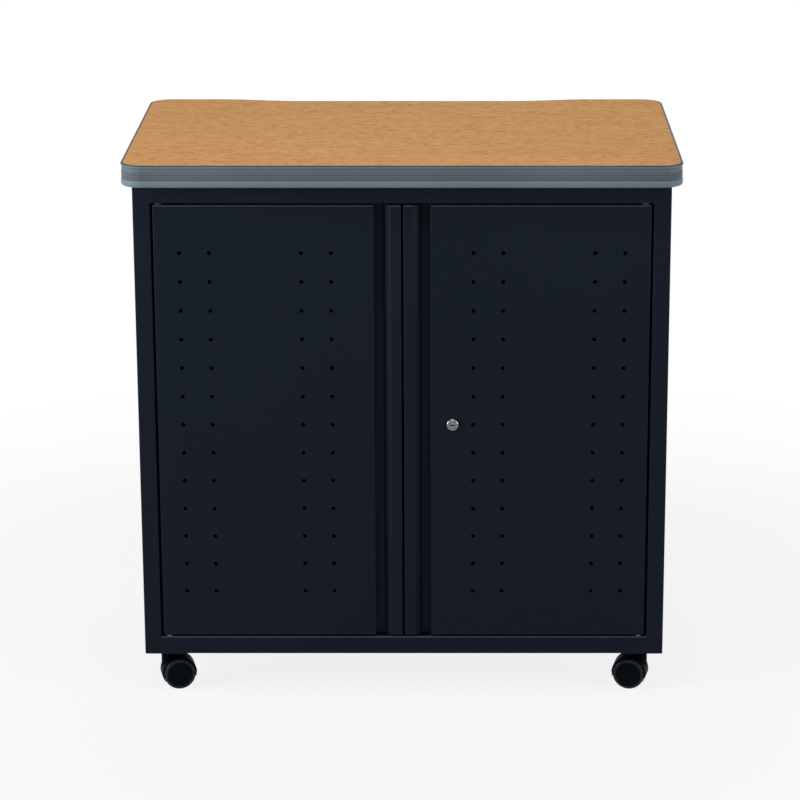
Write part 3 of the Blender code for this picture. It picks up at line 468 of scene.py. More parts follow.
wheel_points += [
    (WHEEL_RADIUS, WHEEL_FROM_MIDDLE + WHEEL_EASING),
    (WHEEL_RADIUS - WHEEL_EASING, WHEEL_FROM_MIDDLE),
    (HOLLOW_OUTER_RADIUS, WHEEL_FROM_MIDDLE),
    (HOLLOW_OUTER_RADIUS - WHEEL_EASING, WHEEL_FROM_MIDDLE + HOLLOW_DEPTH),
    (HUB_RADIUS + WHEEL_EASING, WHEEL_FROM_MIDDLE + HOLLOW_DEPTH),
    (HUB_RADIUS, WHEEL_FROM_MIDDLE),
    (AXLE_BORE, WHEEL_FROM_MIDDLE),
    (AXLE_BORE, WHEEL_FROM_MIDDLE + AXLE_BORE_DEPTH),
    (0, WHEEL_FROM_MIDDLE + AXLE_BORE_DEPTH),
]
wheel = turn_section("wheel", wheel_points, WHEEL_SIDES)
# The rim and tread, beyond the face's radius, are marked for the painted sheen.
mark_painted_highlight(wheel, lambda face: math.hypot(face.center.x, face.center.y) > FACE_RADIUS)
casters = {}
for joint in frame["joints"]:
    if joint["name"].endswith("_wheel_spin"):
        caster = joint["parent"].removesuffix("_caster")
        side = joint["child"].split("_")[-2]
        axis = Vector(joint["axis"])
        casters[caster] = (Vector(joint["pos_m"]), axis)
        outward = axis if side == "far" else -axis
        turn = outward.to_track_quat("Z", "Y").to_matrix().to_4x4()
        name = f"{caster}_caster_{side}_wheel"
        copy = placed_copy(wheel, f"{name}_moulding", Matrix.Translation(joint["pos_m"]) @ turn)
        fit_piece(copy, joint["child"], "black_nylon", WHEEL_NYLON, name)
bpy.data.objects.remove(wheel)

# Caster hoods: one black nylon moulding each, with a well for each wheel, a web between them
# that holds the axle, and a round neck that turns on the kingpin under the plate.
# Their skin is duller than the wheels', and the mould rounds every edge.
HOOD_RADIUS = 0.0310
HOOD_WALL = 0.0024
HOOD_WIDTH = 0.038
HOOD_WEB = 0.006
HOOD_SHOULDER = 0.003
HOOD_SHOULDER_STEPS = 5
HOOD_EDGE = 0.0004
HOOD_EDGE_STEPS = 2
HOOD_MERGE = 0.00004
HOOD_TRAILING_TIP = 0.0050
HOOD_LEADING_TIP = 0.0125
HOOD_TIP_WALL = 0.0010
NECK_RADIUS = 0.0112
NECK_TOP = 0.0674
KINGPIN_BORE = 0.0054
KINGPIN_BORE_DEPTH = 0.0093
CASTER_TRAIL = 0.019
OVERRUN = 0.002
SMALL_SIDES = 32
SHARP_ANGLE = math.radians(50)
# The tilt that lays an upright cylinder along Y.
ACROSS = math.pi / 2


def round_edges(piece, width, steps, test):
    """Rounds the piece's edges that pass the test."""
    take(piece)
    bpy.ops.object.mode_set(mode="EDIT")
    pick("EDGE", test)
    bpy.ops.mesh.bevel(offset=width, segments=steps, affect="EDGES")
    bpy.ops.object.mode_set(mode="OBJECT")


def combine(piece, other, operation="DIFFERENCE"):
    """An exact Boolean with another piece, which is used up."""
    apply_modifier(piece, "BOOLEAN", object=other, operation=operation, solver="EXACT")
    bpy.data.objects.remove(other)


def add_cylinder(name, radius, start, end, sides, tilt=0.0, place=(0, 0, 0)):
    """A cylinder between two heights, then tilted about X and moved to its place."""
    bpy.ops.object.select_all(action="DESELECT")
    bpy.ops.mesh.primitive_cylinder_add(
        vertices=sides, radius=radius, depth=end - start, location=(0, 0, (start + end) / 2)
    )
    piece = bpy.context.object
    piece.name = name
    bpy.ops.object.transform_apply(location=True)
    piece.data.transform(Matrix.Translation(place) @ Matrix.Rotation(tilt, 4, "X"))
    return piece


wheel_centre = (CASTER_TRAIL, 0, WHEEL_RADIUS)
hood = add_cylinder("hood", HOOD_RADIUS, -HOOD_WIDTH / 2, HOOD_WIDTH / 2, WHEEL_SIDES, ACROSS, wheel_centre)
round_edges(hood, HOOD_SHOULDER, HOOD_SHOULDER_STEPS, lambda e: e.calc_face_angle(0) > SHARP_ANGLE)
reach = HOOD_RADIUS + OVERRUN
trailing_tip = Vector((CASTER_TRAIL + reach, 0, WHEEL_RADIUS - HOOD_TRAILING_TIP))
leading_tip = Vector((CASTER_TRAIL - reach, 0, WHEEL_RADIUS - HOOD_LEADING_TIP))
underside = trailing_tip - leading_tip
bpy.ops.object.mode_set(mode="EDIT")
bpy.ops.mesh.select_all(action="SELECT")
bpy.ops.mesh.bisect(
    plane_co=leading_tip,
    plane_no=(-underside.z, 0, underside.x),
    clear_inner=True,
    use_fill=True,
)
# Each end of the hood's rim is thinned outside, down to its tip.
axle = Vector(wheel_centre)
for tip, end in ((HOOD_TRAILING_TIP, 1), (HOOD_LEADING_TIP, -1)):
    below = math.asin(tip / HOOD_RADIUS)
    away = Vector((end * math.cos(below), 0, -math.sin(below)))
    bpy.ops.mesh.select_all(action="SELECT")
    bpy.ops.mesh.bisect(
        plane_co=axle + away * (HOOD_RADIUS - HOOD_WALL + HOOD_TIP_WALL),
        plane_no=away,
        clear_outer=True,
        use_fill=True,
    )
bpy.ops.object.mode_set(mode="OBJECT")
neck = add_cylinder("neck", NECK_RADIUS, WHEEL_RADIUS, NECK_TOP, WHEEL_SIDES)
combine(hood, neck, "UNION")
for side in (-1, 1):
    inner, outer = sorted((side * HOOD_WEB / 2, side * HOOD_WIDTH))
    well = add_cylinder("well", HOOD_RADIUS - HOOD_WALL, inner, outer, WHEEL_SIDES, ACROSS, wheel_centre)
    combine(hood, well)
bore = add_cylinder("bore", KINGPIN_BORE, NECK_TOP - KINGPIN_BORE_DEPTH, NECK_TOP + OVERRUN, SMALL_SIDES)
combine(hood, bore)
eye = add_cylinder("eye", AXLE_BORE, -HOOD_WEB, HOOD_WEB, SMALL_SIDES, ACROSS, wheel_centre)
combine(hood, eye)
apply_modifier(
    hood, "BEVEL", width=HOOD_EDGE, segments=HOOD_EDGE_STEPS, limit_method="ANGLE", angle_limit=SHARP_ANGLE
)
# Rounding leaves slivers and small gaps where edges meet, which are merged and filled.
bpy.ops.object.mode_set(mode="EDIT")
bpy.ops.mesh.select_all(action="SELECT")
bpy.ops.mesh.remove_doubles(threshold=HOOD_MERGE)
bpy.ops.mesh.fill_holes(sides=4)
close_up()
hood_nylon = black_nylon("dull black nylon", smooth=0.45, dull=0.6, shine=0.02)
for caster, (centre, axis) in casters.items():
    trail = Vector((axis.y, -axis.x, 0))
    turn = Matrix.Rotation(math.atan2(trail.y, trail.x), 4, "Z")
    swivel = Vector((centre.x, centre.y, 0)) - trail * CASTER_TRAIL
    copy = placed_copy(hood, f"{caster}_caster_hood_moulding", Matrix.Translation(swivel) @ turn)
    fit_piece(copy, f"{caster}_caster", "black_nylon", hood_nylon, f"{caster}_caster_hood")
bpy.data.objects.remove(hood)

# Rivets and screws: low round rivets hold the caster plates, and pan heads the back panel and, from
# below, the worktop. Cold headed steel, the rivets phosphated like the plates, the screws zinc plated.
# Each head is modelled once and copied to its places.
RIVET_RADIUS = 0.0044
RIVET_HEIGHT = 0.0016
RIVET_ROUNDING = 0.0011
PLATE_THICKNESS = 0.0025
PLATE_HOLE_SPACING = 0.043
PAN_HEAD_RADIUS = 0.0042
PAN_HEAD_HEIGHT = 0.0024
PAN_ROUNDING = 0.0014
CROSS_WIDTH = 0.0011
CROSS_LENGTH = 0.0046
CROSS_DEPTH = 0.0015
HEAD_STEPS = 4
HEAD_SEAT = 0.0001
BACK_SCREW_INSET = 0.009
BACK_SCREW_ROWS = 5
BACK_SCREW_COLUMNS = 4
WORKTOP_SCREWS = 4


def add_block(name, low_corner, high_corner):
    """A block between two corners."""
    low_corner, high_corner = Vector(low_corner), Vector(high_corner)
    bpy.ops.object.select_all(action="DESELECT")
    bpy.ops.mesh.primitive_cube_add(size=1, location=(low_corner + high_corner) / 2)
    piece = bpy.context.object
    piece.name = name
    piece.scale = high_corner - low_corner
    bpy.ops.object.transform_apply(location=True, rotation=True, scale=True)
    return piece


rivet = add_cylinder("rivet", RIVET_RADIUS, -RIVET_HEIGHT, -HEAD_SEAT, SMALL_SIDES)
round_edges(rivet, RIVET_ROUNDING, HEAD_STEPS, lambda e: max(v.co.z for v in e.verts) < -RIVET_HEIGHT / 2)
reach = PLATE_HOLE_SPACING / 2
for caster in casters:
    low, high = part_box(f"{caster}_caster_plate")
    middle = (low + high) / 2
    for number, (side_x, side_y) in enumerate(((-1, -1), (-1, 1), (1, -1), (1, 1)), 1):
        place = Vector((middle.x + side_x * reach, middle.y + side_y * reach, high.z - PLATE_THICKNESS))
        copy = placed_copy(rivet, f"{caster}_caster_rivet_{number}", Matrix.Translation(place))
        fit_piece(copy, "cabinet", "zinc", PHOSPHATE)
bpy.data.objects.remove(rivet)

screw = add_cylinder("screw", PAN_HEAD_RADIUS, HEAD_SEAT, PAN_HEAD_HEIGHT, SMALL_SIDES)
round_edges(screw, PAN_ROUNDING, HEAD_STEPS, lambda e: min(v.co.z for v in e.verts) > PAN_HEAD_HEIGHT / 2)
for length, width in ((CROSS_LENGTH, CROSS_WIDTH), (CROSS_WIDTH, CROSS_LENGTH)):
    slot = add_block(
        "slot",
        (-length / 2, -width / 2, PAN_HEAD_HEIGHT - CROSS_DEPTH),
        (length / 2, width / 2, PAN_HEAD_HEIGHT + CROSS_DEPTH),
    )
    combine(screw, slot)
back_low, back_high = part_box("back_panel")
bottom = back_low.z + BACK_SCREW_INSET
top = back_high.z - BACK_SCREW_INSET
screw_places = []
for x in (back_low.x + BACK_SCREW_INSET, back_high.x - BACK_SCREW_INSET):
    for row in range(BACK_SCREW_ROWS):
        share = row / (BACK_SCREW_ROWS - 1)
        screw_places.append((x, bottom + share * (top - bottom)))
for z in (bottom, top):
    for column in range(1, BACK_SCREW_COLUMNS + 1):
        share = column / (BACK_SCREW_COLUMNS + 1)
        screw_places.append((back_low.x + share * (back_high.x - back_low.x), z))
# Each screw's cross has stopped at an angle of its own, for which its number serves.
for number, (x, z) in enumerate(screw_places, 1):
    turn = Matrix.Rotation(-math.pi / 2, 4, "X") @ Matrix.Rotation(number, 4, "Z")
    copy = placed_copy(screw, f"back_panel_screw_{number}", Matrix.Translation((x, back_high.y, z)) @ turn)
    fit_piece(copy, "cabinet", "zinc", ZINC)
for cleat in ("left_top_cleat", "right_top_cleat"):
    low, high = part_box(cleat)
    for number in range(1, WORKTOP_SCREWS + 1):
        share = number / (WORKTOP_SCREWS + 1)
        place = Vector(((low.x + high.x) / 2, low.y + share * (high.y - low.y), high.z - SHEET))
        turn = Matrix.Rotation(math.pi, 4, "X") @ Matrix.Rotation(number, 4, "Z")
        copy = placed_copy(screw, f"{cleat}_screw_{number}", Matrix.Translation(place) @ turn)
        fit_piece(copy, "cabinet", "zinc", ZINC)
bpy.data.objects.remove(screw)

# Doors: each is one sheet bent into a tray, with a finger pull pressed along its meeting edge
# and its corners welded and ground, so that all front edges are rounded alike.
# Two pairs of columns of punched holes let air through. Powder coated like the carcass.
BEND_STEPS = 5
PULL_STRIP_WIDTH = 0.0184
PULL_SLOPE_WIDTH = 0.013
PULL_FLOOR_WIDTH = 0.0152
PULL_DEPTH = 0.014
DOOR_LIP = 0.014
HOLE_RADIUS = 0.00355
HOLE_SIDES = 28
HOLE_PITCH = 0.0508
HOLE_ROWS = 13
HOLE_FIRST_COLUMN = 0.0440
HOLE_PAIR_SPACING = 0.2073
BUSHING_HOLE = 0.00555
LOCK_HOLE = 0.0098
CORNER_MERGE = 0.00002
FLAT_ANGLE = math.radians(1)
FOLD_ANGLE = math.radians(20)

low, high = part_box("left_door")
strip_start = high.x - PULL_STRIP_WIDTH
floor_end = strip_start - PULL_SLOPE_WIDTH
pull_start = floor_end - PULL_FLOOR_WIDTH
pull_back = low.y + PULL_DEPTH
middle = (low + high) / 2
bpy.ops.object.select_all(action="DESELECT")
bpy.ops.mesh.primitive_plane_add(size=1, location=(middle.x, middle.y, low.z))
bpy.context.object.scale = (high.x - low.x, high.y - low.y, 1)
door = open_piece("left_door_sheet")
for plane_co, plane_no in (
    ((pull_start, 0, 0), (1, 0, 0)),
    ((floor_end, 0, 0), (1, 0, 0)),
    ((strip_start, 0, 0), (1, 0, 0)),
    ((0, pull_back, 0), (0, 1, 0)),
):
    bpy.ops.mesh.select_all(action="SELECT")
    bpy.ops.mesh.bisect(plane_co=plane_co, plane_no=plane_no)


def is_pull_mouth(face):
    """The stretch of the section in front of the pull's floor."""
    centre = face.calc_center_median()
    return pull_start < centre.x < floor_end and centre.y < pull_back


# The mouth is deleted from the section, and the slope's corner is pushed back to the pull's floor.
pick("FACE", is_pull_mouth)
bpy.ops.mesh.delete(type="FACE")
pick("VERT", lambda v: abs(v.co.x - floor_end) < NEAR and abs(v.co.y - low.y) < NEAR)
bpy.ops.transform.translate(value=(0, PULL_DEPTH, 0))
bpy.ops.mesh.select_all(action="SELECT")
bpy.ops.mesh.remove_doubles(threshold=CORNER_MERGE)
bpy.ops.mesh.dissolve_limited(angle_limit=FLAT_ANGLE)
bpy.ops.mesh.select_all(action="SELECT")
bpy.ops.mesh.extrude_region_move(TRANSFORM_OT_translate={"value": (0, 0, high.z - low.z)})
bpy.ops.mesh.select_all(action="SELECT")
bpy.ops.mesh.normals_make_consistent(inside=False)


def is_door_bend(edge):
    """The upright bends of the front and the pull, and the front's folds along the top and bottom."""
    a, b = (v.co for v in edge.verts)
    if edge.calc_face_angle(0) < FOLD_ANGLE:
        return False
    if abs(a.z - b.z) > NEAR:
        return a.y < high.y - NEAR
    return abs(a.y - low.y) < NEAR and abs(b.y - low.y) < NEAR


pick("EDGE", is_door_bend)
bpy.ops.mesh.bevel(offset=BEND_RADIUS, segments=BEND_STEPS, affect="EDGES", clamp_overlap=False)
bpy.ops.object.mode_set(mode="OBJECT")
apply_modifier(door, "SOLIDIFY", thickness=SHEET, offset=-1, use_even_offset=True)
tray_mouth = add_block(
    "tray_mouth",
    (low.x + DOOR_LIP, high.y - OVERRUN, low.z + DOOR_LIP),
    (high.x - DOOR_LIP, high.y + OVERRUN, high.z - DOOR_LIP),
)
combine(door, tray_mouth)


def hole_cutter(name, places):
    """One cutter of round bars: (x, y, z, radius, tilt) each."""
    reach = 2 * BEND_RADIUS
    bars = [
        add_cylinder("bar", radius, -reach, reach, HOLE_SIDES, tilt, (x, y, z))
        for x, y, z, radius, tilt in places
    ]
    take(bars[0])
    for bar in bars:
        bar.select_set(True)
    if len(bars) > 1:
        bpy.ops.object.join()
    bars[0].name = name
    return bars[0]


first_row = middle.z - HOLE_PITCH * (HOLE_ROWS - 1) / 2
bars = []
for start in (HOLE_FIRST_COLUMN, HOLE_FIRST_COLUMN + HOLE_PAIR_SPACING):
    for column in range(2):
        for row in range(HOLE_ROWS):
            x = low.x + start + column * HOLE_PITCH
            bars.append((x, low.y, first_row + row * HOLE_PITCH, HOLE_RADIUS, ACROSS))
hinge = Vector(next(j["pos_m"] for j in frame["joints"] if j["name"] == "left_door_hinge"))
for z in (low.z, high.z):
    bars.append((hinge.x, hinge.y, z, BUSHING_HOLE, 0))
combine(door, hole_cutter("door_holes", bars))
mirror = Matrix.Diagonal((-1, 1, 1, 1))
other_door = placed_copy(door, "right_door_sheet", mirror)
lock = Vector(next(j["pos_m"] for j in frame["joints"] if j["name"] == "lock_turn"))
combine(other_door, hole_cutter("lock_hole", [(lock.x, low.y, lock.z, LOCK_HOLE, ACROSS)]))
for body, sheet in (("left_door", door), ("right_door", other_door)):
    # The doors' bends that look up to the front are marked for the painted highlight.
    mark_painted_highlight(sheet, is_upper_bend)
    fit_piece(sheet, body, "powder_coat", POWDER_COAT, body)

# Door bushings: nylon, injection moulded, pressed into the doors' top and bottom holes.
# The nylon is dull and milky, and graphite grease has stained it to a dark blue-grey.
NYLON_MILK = "343e4c"
NYLON_THICK = "2a323e"
MILK_SIZE = 0.003
BUSHING_NODES = [name for name in frame["nodes"] if name.endswith("_pivot_bushing")]


def stained_nylon():
    material, _, shader, _ = mottled_material(
        "grease-stained nylon", NYLON_THICK, NYLON_MILK, MILK_SIZE, detail=2
    )
    shader.inputs["Roughness"].default_value = 0.5
    shader.inputs["Specular IOR Level"].default_value = 0.1
    return material


dress(stained_nylon(), *BUSHING_NODES)

# Magnetic catches: a brown ABS housing under the head rail holds a magnet between two steel poles.
# The poles stand a little proud of the housing, and the door's plate closes against them.
# The ABS is moulded in a spark-eroded mould, so it is matt.
ABS_BROWN = "2b2723"
ABS_GRAIN = "37322d"
ABS_GRAIN_SIZE = 0.0006
ABS_GRAIN_HEIGHT = 0.00005
CATCH_ROUNDING = 0.0012
CATCH_STEPS = 3
POLE_WIDTH = 0.030
POLE_THICKNESS = 0.0014
POLE_SPACING = 0.0052
POLE_STAND = 0.00012
POLE_STEPS = 2


def catch_plastic():
    material, tree, shader, grain = mottled_material(
        "brown ABS", ABS_BROWN, ABS_GRAIN, ABS_GRAIN_SIZE, detail=2
    )
    bump = add_node(tree, "ShaderNodeBump", {"Height": grain, "Strength": 0.3, "Distance": ABS_GRAIN_HEIGHT})
    tree.links.new(bump.outputs["Normal"], shader.inputs["Normal"])
    shader.inputs["Roughness"].default_value = 0.55
    return material


CATCH_PLASTIC = catch_plastic()
for side in ("left", "right"):
    low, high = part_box(f"{side}_magnetic_catch")
    middle = (low + high) / 2
    housing = add_block(f"{side}_catch_housing", low, high)
    apply_modifier(housing, "BEVEL", width=CATCH_ROUNDING, segments=CATCH_STEPS)
    fit_piece(housing, "cabinet", "catch_plastic", CATCH_PLASTIC, f"{side}_magnetic_catch")
    for number, level in enumerate((middle.z - POLE_SPACING / 2, middle.z + POLE_SPACING / 2), 1):
        pole = add_block(
            f"{side}_catch_pole_{number}",
            (middle.x - POLE_WIDTH / 2, low.y - POLE_STAND, level - POLE_THICKNESS / 2),
            (middle.x + POLE_WIDTH / 2, low.y + POLE_THICKNESS, level + POLE_THICKNESS / 2),
        )
        apply_modifier(pole, "BEVEL", width=POLE_STAND, segments=POLE_STEPS)
        fit_piece(pole, "cabinet", "zinc", ZINC)

# Cam lock: a turned brass housing and plug, both chrome plated, the plug with a level keyway.
# The head is domed right out to its rim, so the chrome gathers the studio's light into patches
# above the keyway.
CHROME_BRIGHT = "86888b"
CHROME_HAZE = "6f7175"
CHROME_HAZE_SIZE = 0.003
CHROME_SMOOTH = 0.06
CHROME_DULL = 0.14
HEAD_RADIUS = 0.011
HEAD_THICKNESS = 0.004
HEAD_DOME = 0.0038
HEAD_DOME_STEPS = 12
HEAD_CUP_RADIUS = 0.0070
HEAD_CUP_DEPTH = 0.0003
BARREL_RADIUS = 0.0095
BARREL_LENGTH = 0.022
PLUG_RADIUS = 0.0063
PLUG_CLEARANCE = 0.0002
PLUG_SETBACK = 0.0006
PLUG_EDGE = 0.0005
PLUG_LENGTH = 0.0242
KEYWAY_LENGTH = 0.0085
KEYWAY_WIDTH = 0.0026
KEYWAY_DEPTH = 0.012
LOCK_SIDES = 96
LOCK_SEAT = 0.0003


def chrome_plate():
    material, tree, shader, haze = mottled_material(
        "chrome plated brass", CHROME_HAZE, CHROME_BRIGHT, CHROME_HAZE_SIZE, detail=3
    )
    vary_gloss(tree, shader, haze, CHROME_SMOOTH, CHROME_DULL)
    shader.inputs["Metallic"].default_value = 1
    return material


CHROME = chrome_plate()
head_front = LOCK_SEAT + HEAD_THICKNESS
plug_bore = PLUG_RADIUS + PLUG_CLEARANCE
housing_points = [
    (plug_bore, -BARREL_LENGTH), (BARREL_RADIUS, -BARREL_LENGTH), (BARREL_RADIUS, LOCK_SEAT),
    (HEAD_RADIUS, LOCK_SEAT),
]
for step in range(HEAD_DOME_STEPS + 1):
    angle = math.pi / 2 * step / HEAD_DOME_STEPS
    housing_points.append((
        HEAD_RADIUS - HEAD_DOME * (1 - math.cos(angle)),
        head_front - HEAD_DOME * (1 - math.sin(angle)),
    ))
housing_points += [(HEAD_CUP_RADIUS, head_front), (plug_bore, head_front - HEAD_CUP_DEPTH)]
housing = turn_section("lock_housing_turning", housing_points, LOCK_SIDES, closed=True)
forward = Matrix.Translation(lock) @ Matrix.Rotation(ACROSS, 4, "X")
housing.data.transform(forward)
fit_piece(housing, "right_door", "chrome", CHROME, "lock_housing")

plug_front = head_front - PLUG_SETBACK
plug_points = [
    (0, -PLUG_LENGTH), (PLUG_RADIUS, -PLUG_LENGTH), (PLUG_RADIUS, plug_front - PLUG_EDGE),
    (PLUG_RADIUS - PLUG_EDGE, plug_front), (0, plug_front),
]
plug = turn_section("lock_plug_turning", plug_points, LOCK_SIDES)
keyway = add_block(
    "keyway",
    (-KEYWAY_LENGTH / 2, -KEYWAY_WIDTH / 2, plug_front - KEYWAY_DEPTH),
    (KEYWAY_LENGTH / 2, KEYWAY_WIDTH / 2, plug_front + OVERRUN),
)
combine(plug, keyway)
plug.data.transform(forward)
fit_piece(plug, "lock_cylinder", "chrome", CHROME, "lock_plug")

# Worktop core: one board of pressed wood chips, sawn and slotted round its edge for the moulding.
# It shows only from below, where the chips are a mottle of straw and brown.
CHIP_STRAW = "bfa37b"
CHIP_BROWN = "93764f"
CHIP_SIZE = 0.0035
CHIP_STRETCH = 1.7
CHIP_HEIGHT = 0.0002


def particle_board():
    material, tree, shader, place = new_material("particle board")
    stretch = add_node(
        tree, "ShaderNodeMapping", {"Vector": place, "Scale": (1, CHIP_STRETCH, 1)}
    ).outputs["Vector"]
    chips = add_node(tree, "ShaderNodeTexVoronoi", {"Vector": stretch, "Scale": 1 / CHIP_SIZE})
    tone = add_node(tree, "ShaderNodeSeparateColor", {"Color": chips.outputs["Color"]}).outputs["Red"]
    colour = add_node(
        tree, "ShaderNodeMix", {"Factor": tone, "A": linear(CHIP_BROWN), "B": linear(CHIP_STRAW)},
        data_type="RGBA",
    )
    tree.links.new(colour.outputs["Result"], shader.inputs["Base Color"])
    relief = chips.outputs["Distance"]
    bump = add_node(tree, "ShaderNodeBump", {"Height": relief, "Strength": 0.3, "Distance": CHIP_HEIGHT})
    tree.links.new(bump.outputs["Normal"], shader.inputs["Normal"])
    shader.inputs["Roughness"].default_value = 0.85
    return material


dress(particle_board(), "top_core")

# Laminate: a sheet of high-pressure laminate, printed as red oak with its grain along the front,
# glued to the board and routed flush. Printed figure, tick marks and pores lie under a satin film.
OAK_MIDDLE = "c59058"
OAK_LIGHT = "d29d60"
OAK_DARK = "a36f39"
OAK_PORE = "855226"
OAK_RED = "b5672c"
FIGURE_LENGTH = 0.50
FIGURE_WIDTH = 0.045
FLECK_LENGTH = 0.015
FLECK_WIDTH = 0.0048
PORE_LENGTH = 0.010
PORE_WIDTH = 0.0012
ARCH_LENGTH = 0.110
ARCH_WIDTH = 0.0060
ARCH_REACH = 0.030
# The noise at which each layer of the print sets in, that at which it is full, and its fullest share.
FIGURE_LEVELS = (0.3, 0.7, 0.8)
FLECK_LEVELS = (0.46, 0.70, 0.87)
PORE_LEVELS = (0.56, 0.76, 0.78)
ARCH_LEVELS = (0.46, 0.62, 0.7)
FILM_SMOOTH = 0.46
FILM_DULL = 0.58
PORE_DEPTH = 0.00005
WORKTOP_CORNER_RADIUS = 0.038
CORNER_STEPS = 28
RECESS_WIDTH = 0.690
RECESS_FLAT_WIDTH = 0.400
RECESS_DEPTH = 0.0175
RECESS_STEPS = 20
MOULDING_WALL = 0.0032
LAMINATE_INSET = 0.0035
LAMINATE_EASING = 0.0002
LAMINATE_EASING_STEPS = 2

top_low, top_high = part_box("edge_moulding")


def oak_laminate():
    material, tree, shader, place = new_material("oak-print high-pressure laminate")

    def grain(length, width, detail, warp):
        """Noise drawn out along X to marks of this length and width."""
        stretch = add_node(
            tree, "ShaderNodeMapping", {"Vector": place, "Scale": (1 / length, 1 / width, 1 / width)}
        ).outputs["Vector"]
        return add_node(
            tree, "ShaderNodeTexNoise", {"Vector": stretch, "Scale": 1, "Detail": detail, "Distortion": warp}
        ).outputs["Fac"]

    def print_over(under, ink, noise, levels):
        """Prints an ink over the colour under it, more of it where the noise is higher."""
        sets_in, is_full, most = levels
        amount = add_node(
            tree, "ShaderNodeMapRange",
            {"Value": noise, "From Min": sets_in, "From Max": is_full, "To Max": most},
        ).outputs["Result"]
        return add_node(
            tree, "ShaderNodeMix", {"Factor": amount, "A": under, "B": linear(ink)}, data_type="RGBA"
        ).outputs["Result"]

    figure = grain(FIGURE_LENGTH, FIGURE_WIDTH, detail=3, warp=0.6)
    flecks = grain(FLECK_LENGTH, FLECK_WIDTH, detail=3, warp=0.4)
    pores = grain(PORE_LENGTH, PORE_WIDTH, detail=2, warp=0)
    arches = grain(ARCH_LENGTH, ARCH_WIDTH, detail=2, warp=1.2)
    depth = add_node(tree, "ShaderNodeSeparateXYZ", {"Vector": place}).outputs["Y"]
    near_front = add_node(tree, "ShaderNodeMapRange", {
        "Value": depth, "From Min": top_low.y, "From Max": top_low.y + ARCH_REACH, "To Min": 1, "To Max": 0,
    }).outputs["Result"]
    front_arches = add_node(
        tree, "ShaderNodeMath", {0: arches, 1: near_front}, operation="MULTIPLY"
    ).outputs["Value"]
    colour = print_over(linear(OAK_MIDDLE), OAK_LIGHT, figure, FIGURE_LEVELS)
    colour = print_over(colour, OAK_DARK, flecks, FLECK_LEVELS)
    colour = print_over(colour, OAK_PORE, pores, PORE_LEVELS)
    colour = print_over(colour, OAK_RED, front_arches, ARCH_LEVELS)
    tree.links.new(colour, shader.inputs["Base Color"])
    vary_gloss(tree, shader, pores, FILM_SMOOTH, FILM_DULL)
    bump = add_node(tree, "ShaderNodeBump", {"Height": pores, "Strength": 0.08, "Distance": PORE_DEPTH})
    tree.links.new(bump.outputs["Normal"], shader.inputs["Normal"])
    shader.inputs["Specular IOR Level"].default_value = 0.02
    return material


def walk_round_top():
    """Carries the selected section round the worktop, extruded on straights and spun at corners."""
    run_x = top_high.x - WORKTOP_CORNER_RADIUS
    run_y = top_high.y - WORKTOP_CORNER_RADIUS

    def along(x, y):
        bpy.ops.mesh.extrude_region_move(TRANSFORM_OT_translate={"value": (x, y, 0)})

    def corner(side_x, side_y):
        bpy.ops.mesh.spin(
            steps=CORNER_STEPS, angle=-math.pi / 2, center=(side_x * run_x, side_y * run_y, 0), axis=(0, 0, 1)
        )

    # The back edge slopes down to its recess, and up again, along half a cosine wave.
    ramp = (RECESS_WIDTH - RECESS_FLAT_WIDTH) / 2
    sinks = [RECESS_DEPTH * (1 - math.cos(math.pi * i / RECESS_STEPS)) / 2 for i in range(RECESS_STEPS + 1)]
    steps = [b - a for a, b in zip(sinks, sinks[1:])]
    along(run_x, 0)
    corner(1, -1)
    along(0, 2 * run_y)
    corner(1, 1)
    along(RECESS_WIDTH / 2 - run_x, 0)
    for step in steps:
        along(-ramp / RECESS_STEPS, -step)
    along(-RECESS_FLAT_WIDTH, 0)
    for step in steps:
        along(-ramp / RECESS_STEPS, step)
    along(RECESS_WIDTH / 2 - run_x, 0)
    corner(-1, 1)
    along(0, -2 * run_y)
    corner(-1, -1)
    along(run_x, 0)


low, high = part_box("laminate_sheet")
bpy.ops.object.select_all(action="DESELECT")
bpy.ops.mesh.primitive_plane_add(size=LAMINATE_EASING, location=(0, top_low.y + LAMINATE_INSET, low.z))
laminate = open_piece("laminate_print")
bpy.ops.mesh.select_mode(type="VERT")
bpy.ops.mesh.merge(type="CENTER")
walk_round_top()
bpy.ops.mesh.select_all(action="SELECT")
bpy.ops.mesh.remove_doubles(threshold=CORNER_MERGE)
bpy.ops.mesh.edge_face_add()
bpy.ops.mesh.extrude_region_move(TRANSFORM_OT_translate={"value": (0, 0, high.z - low.z)})
close_up()
round_edges(
    laminate, LAMINATE_EASING, LAMINATE_EASING_STEPS, lambda e: min(v.co.z for v in e.verts) > high.z - NEAR
)
fit_piece(laminate, "cabinet", "oak_laminate", oak_laminate(), "laminate_sheet")

# Edge moulding: grey-blue PVC, extruded with a tongue that is hammered into the board's slot.
# Its face has a lip, a plain band, three ribs and a rounded bead, all with faint lines from the die. The
# vinyl is a soft satin. By height its colour is painted light and shade: a paler bead and lip, darker ribs
# and band, and a dark navy top where the lip is trimmed flush with the laminate.
VINYL_FADED = "77838c"
# Shares of the worktop's thickness, from below, and the vinyl's colour there, painted light and shade: the
# bead, paler as a painted highlight, the ribs and band, darker as painted shade, the lip, paler again, and
# its trimmed top, dark as painted shade.
VINYL_PAINTED_SHADING = (
    (0.00, "697882"), (0.27, "6a7984"), (0.31, "5a6369"), (0.85, "5e686e"), (0.89, "697578"),
    (0.950, "697578"), (0.965, "293341"),
)
VINYL_DRIFT_LENGTH = 0.12
VINYL_FADED_MOST = 0.2
VINYL_SMOOTH = 0.42
VINYL_DULL = 0.56
DIE_LINE_SPACING = 0.0008
DIE_LINE_LENGTH = 0.5
DIE_LINE_HEIGHT = 0.0001
TONGUE_LENGTH = 0.010
TONGUE_HALF = 0.0015
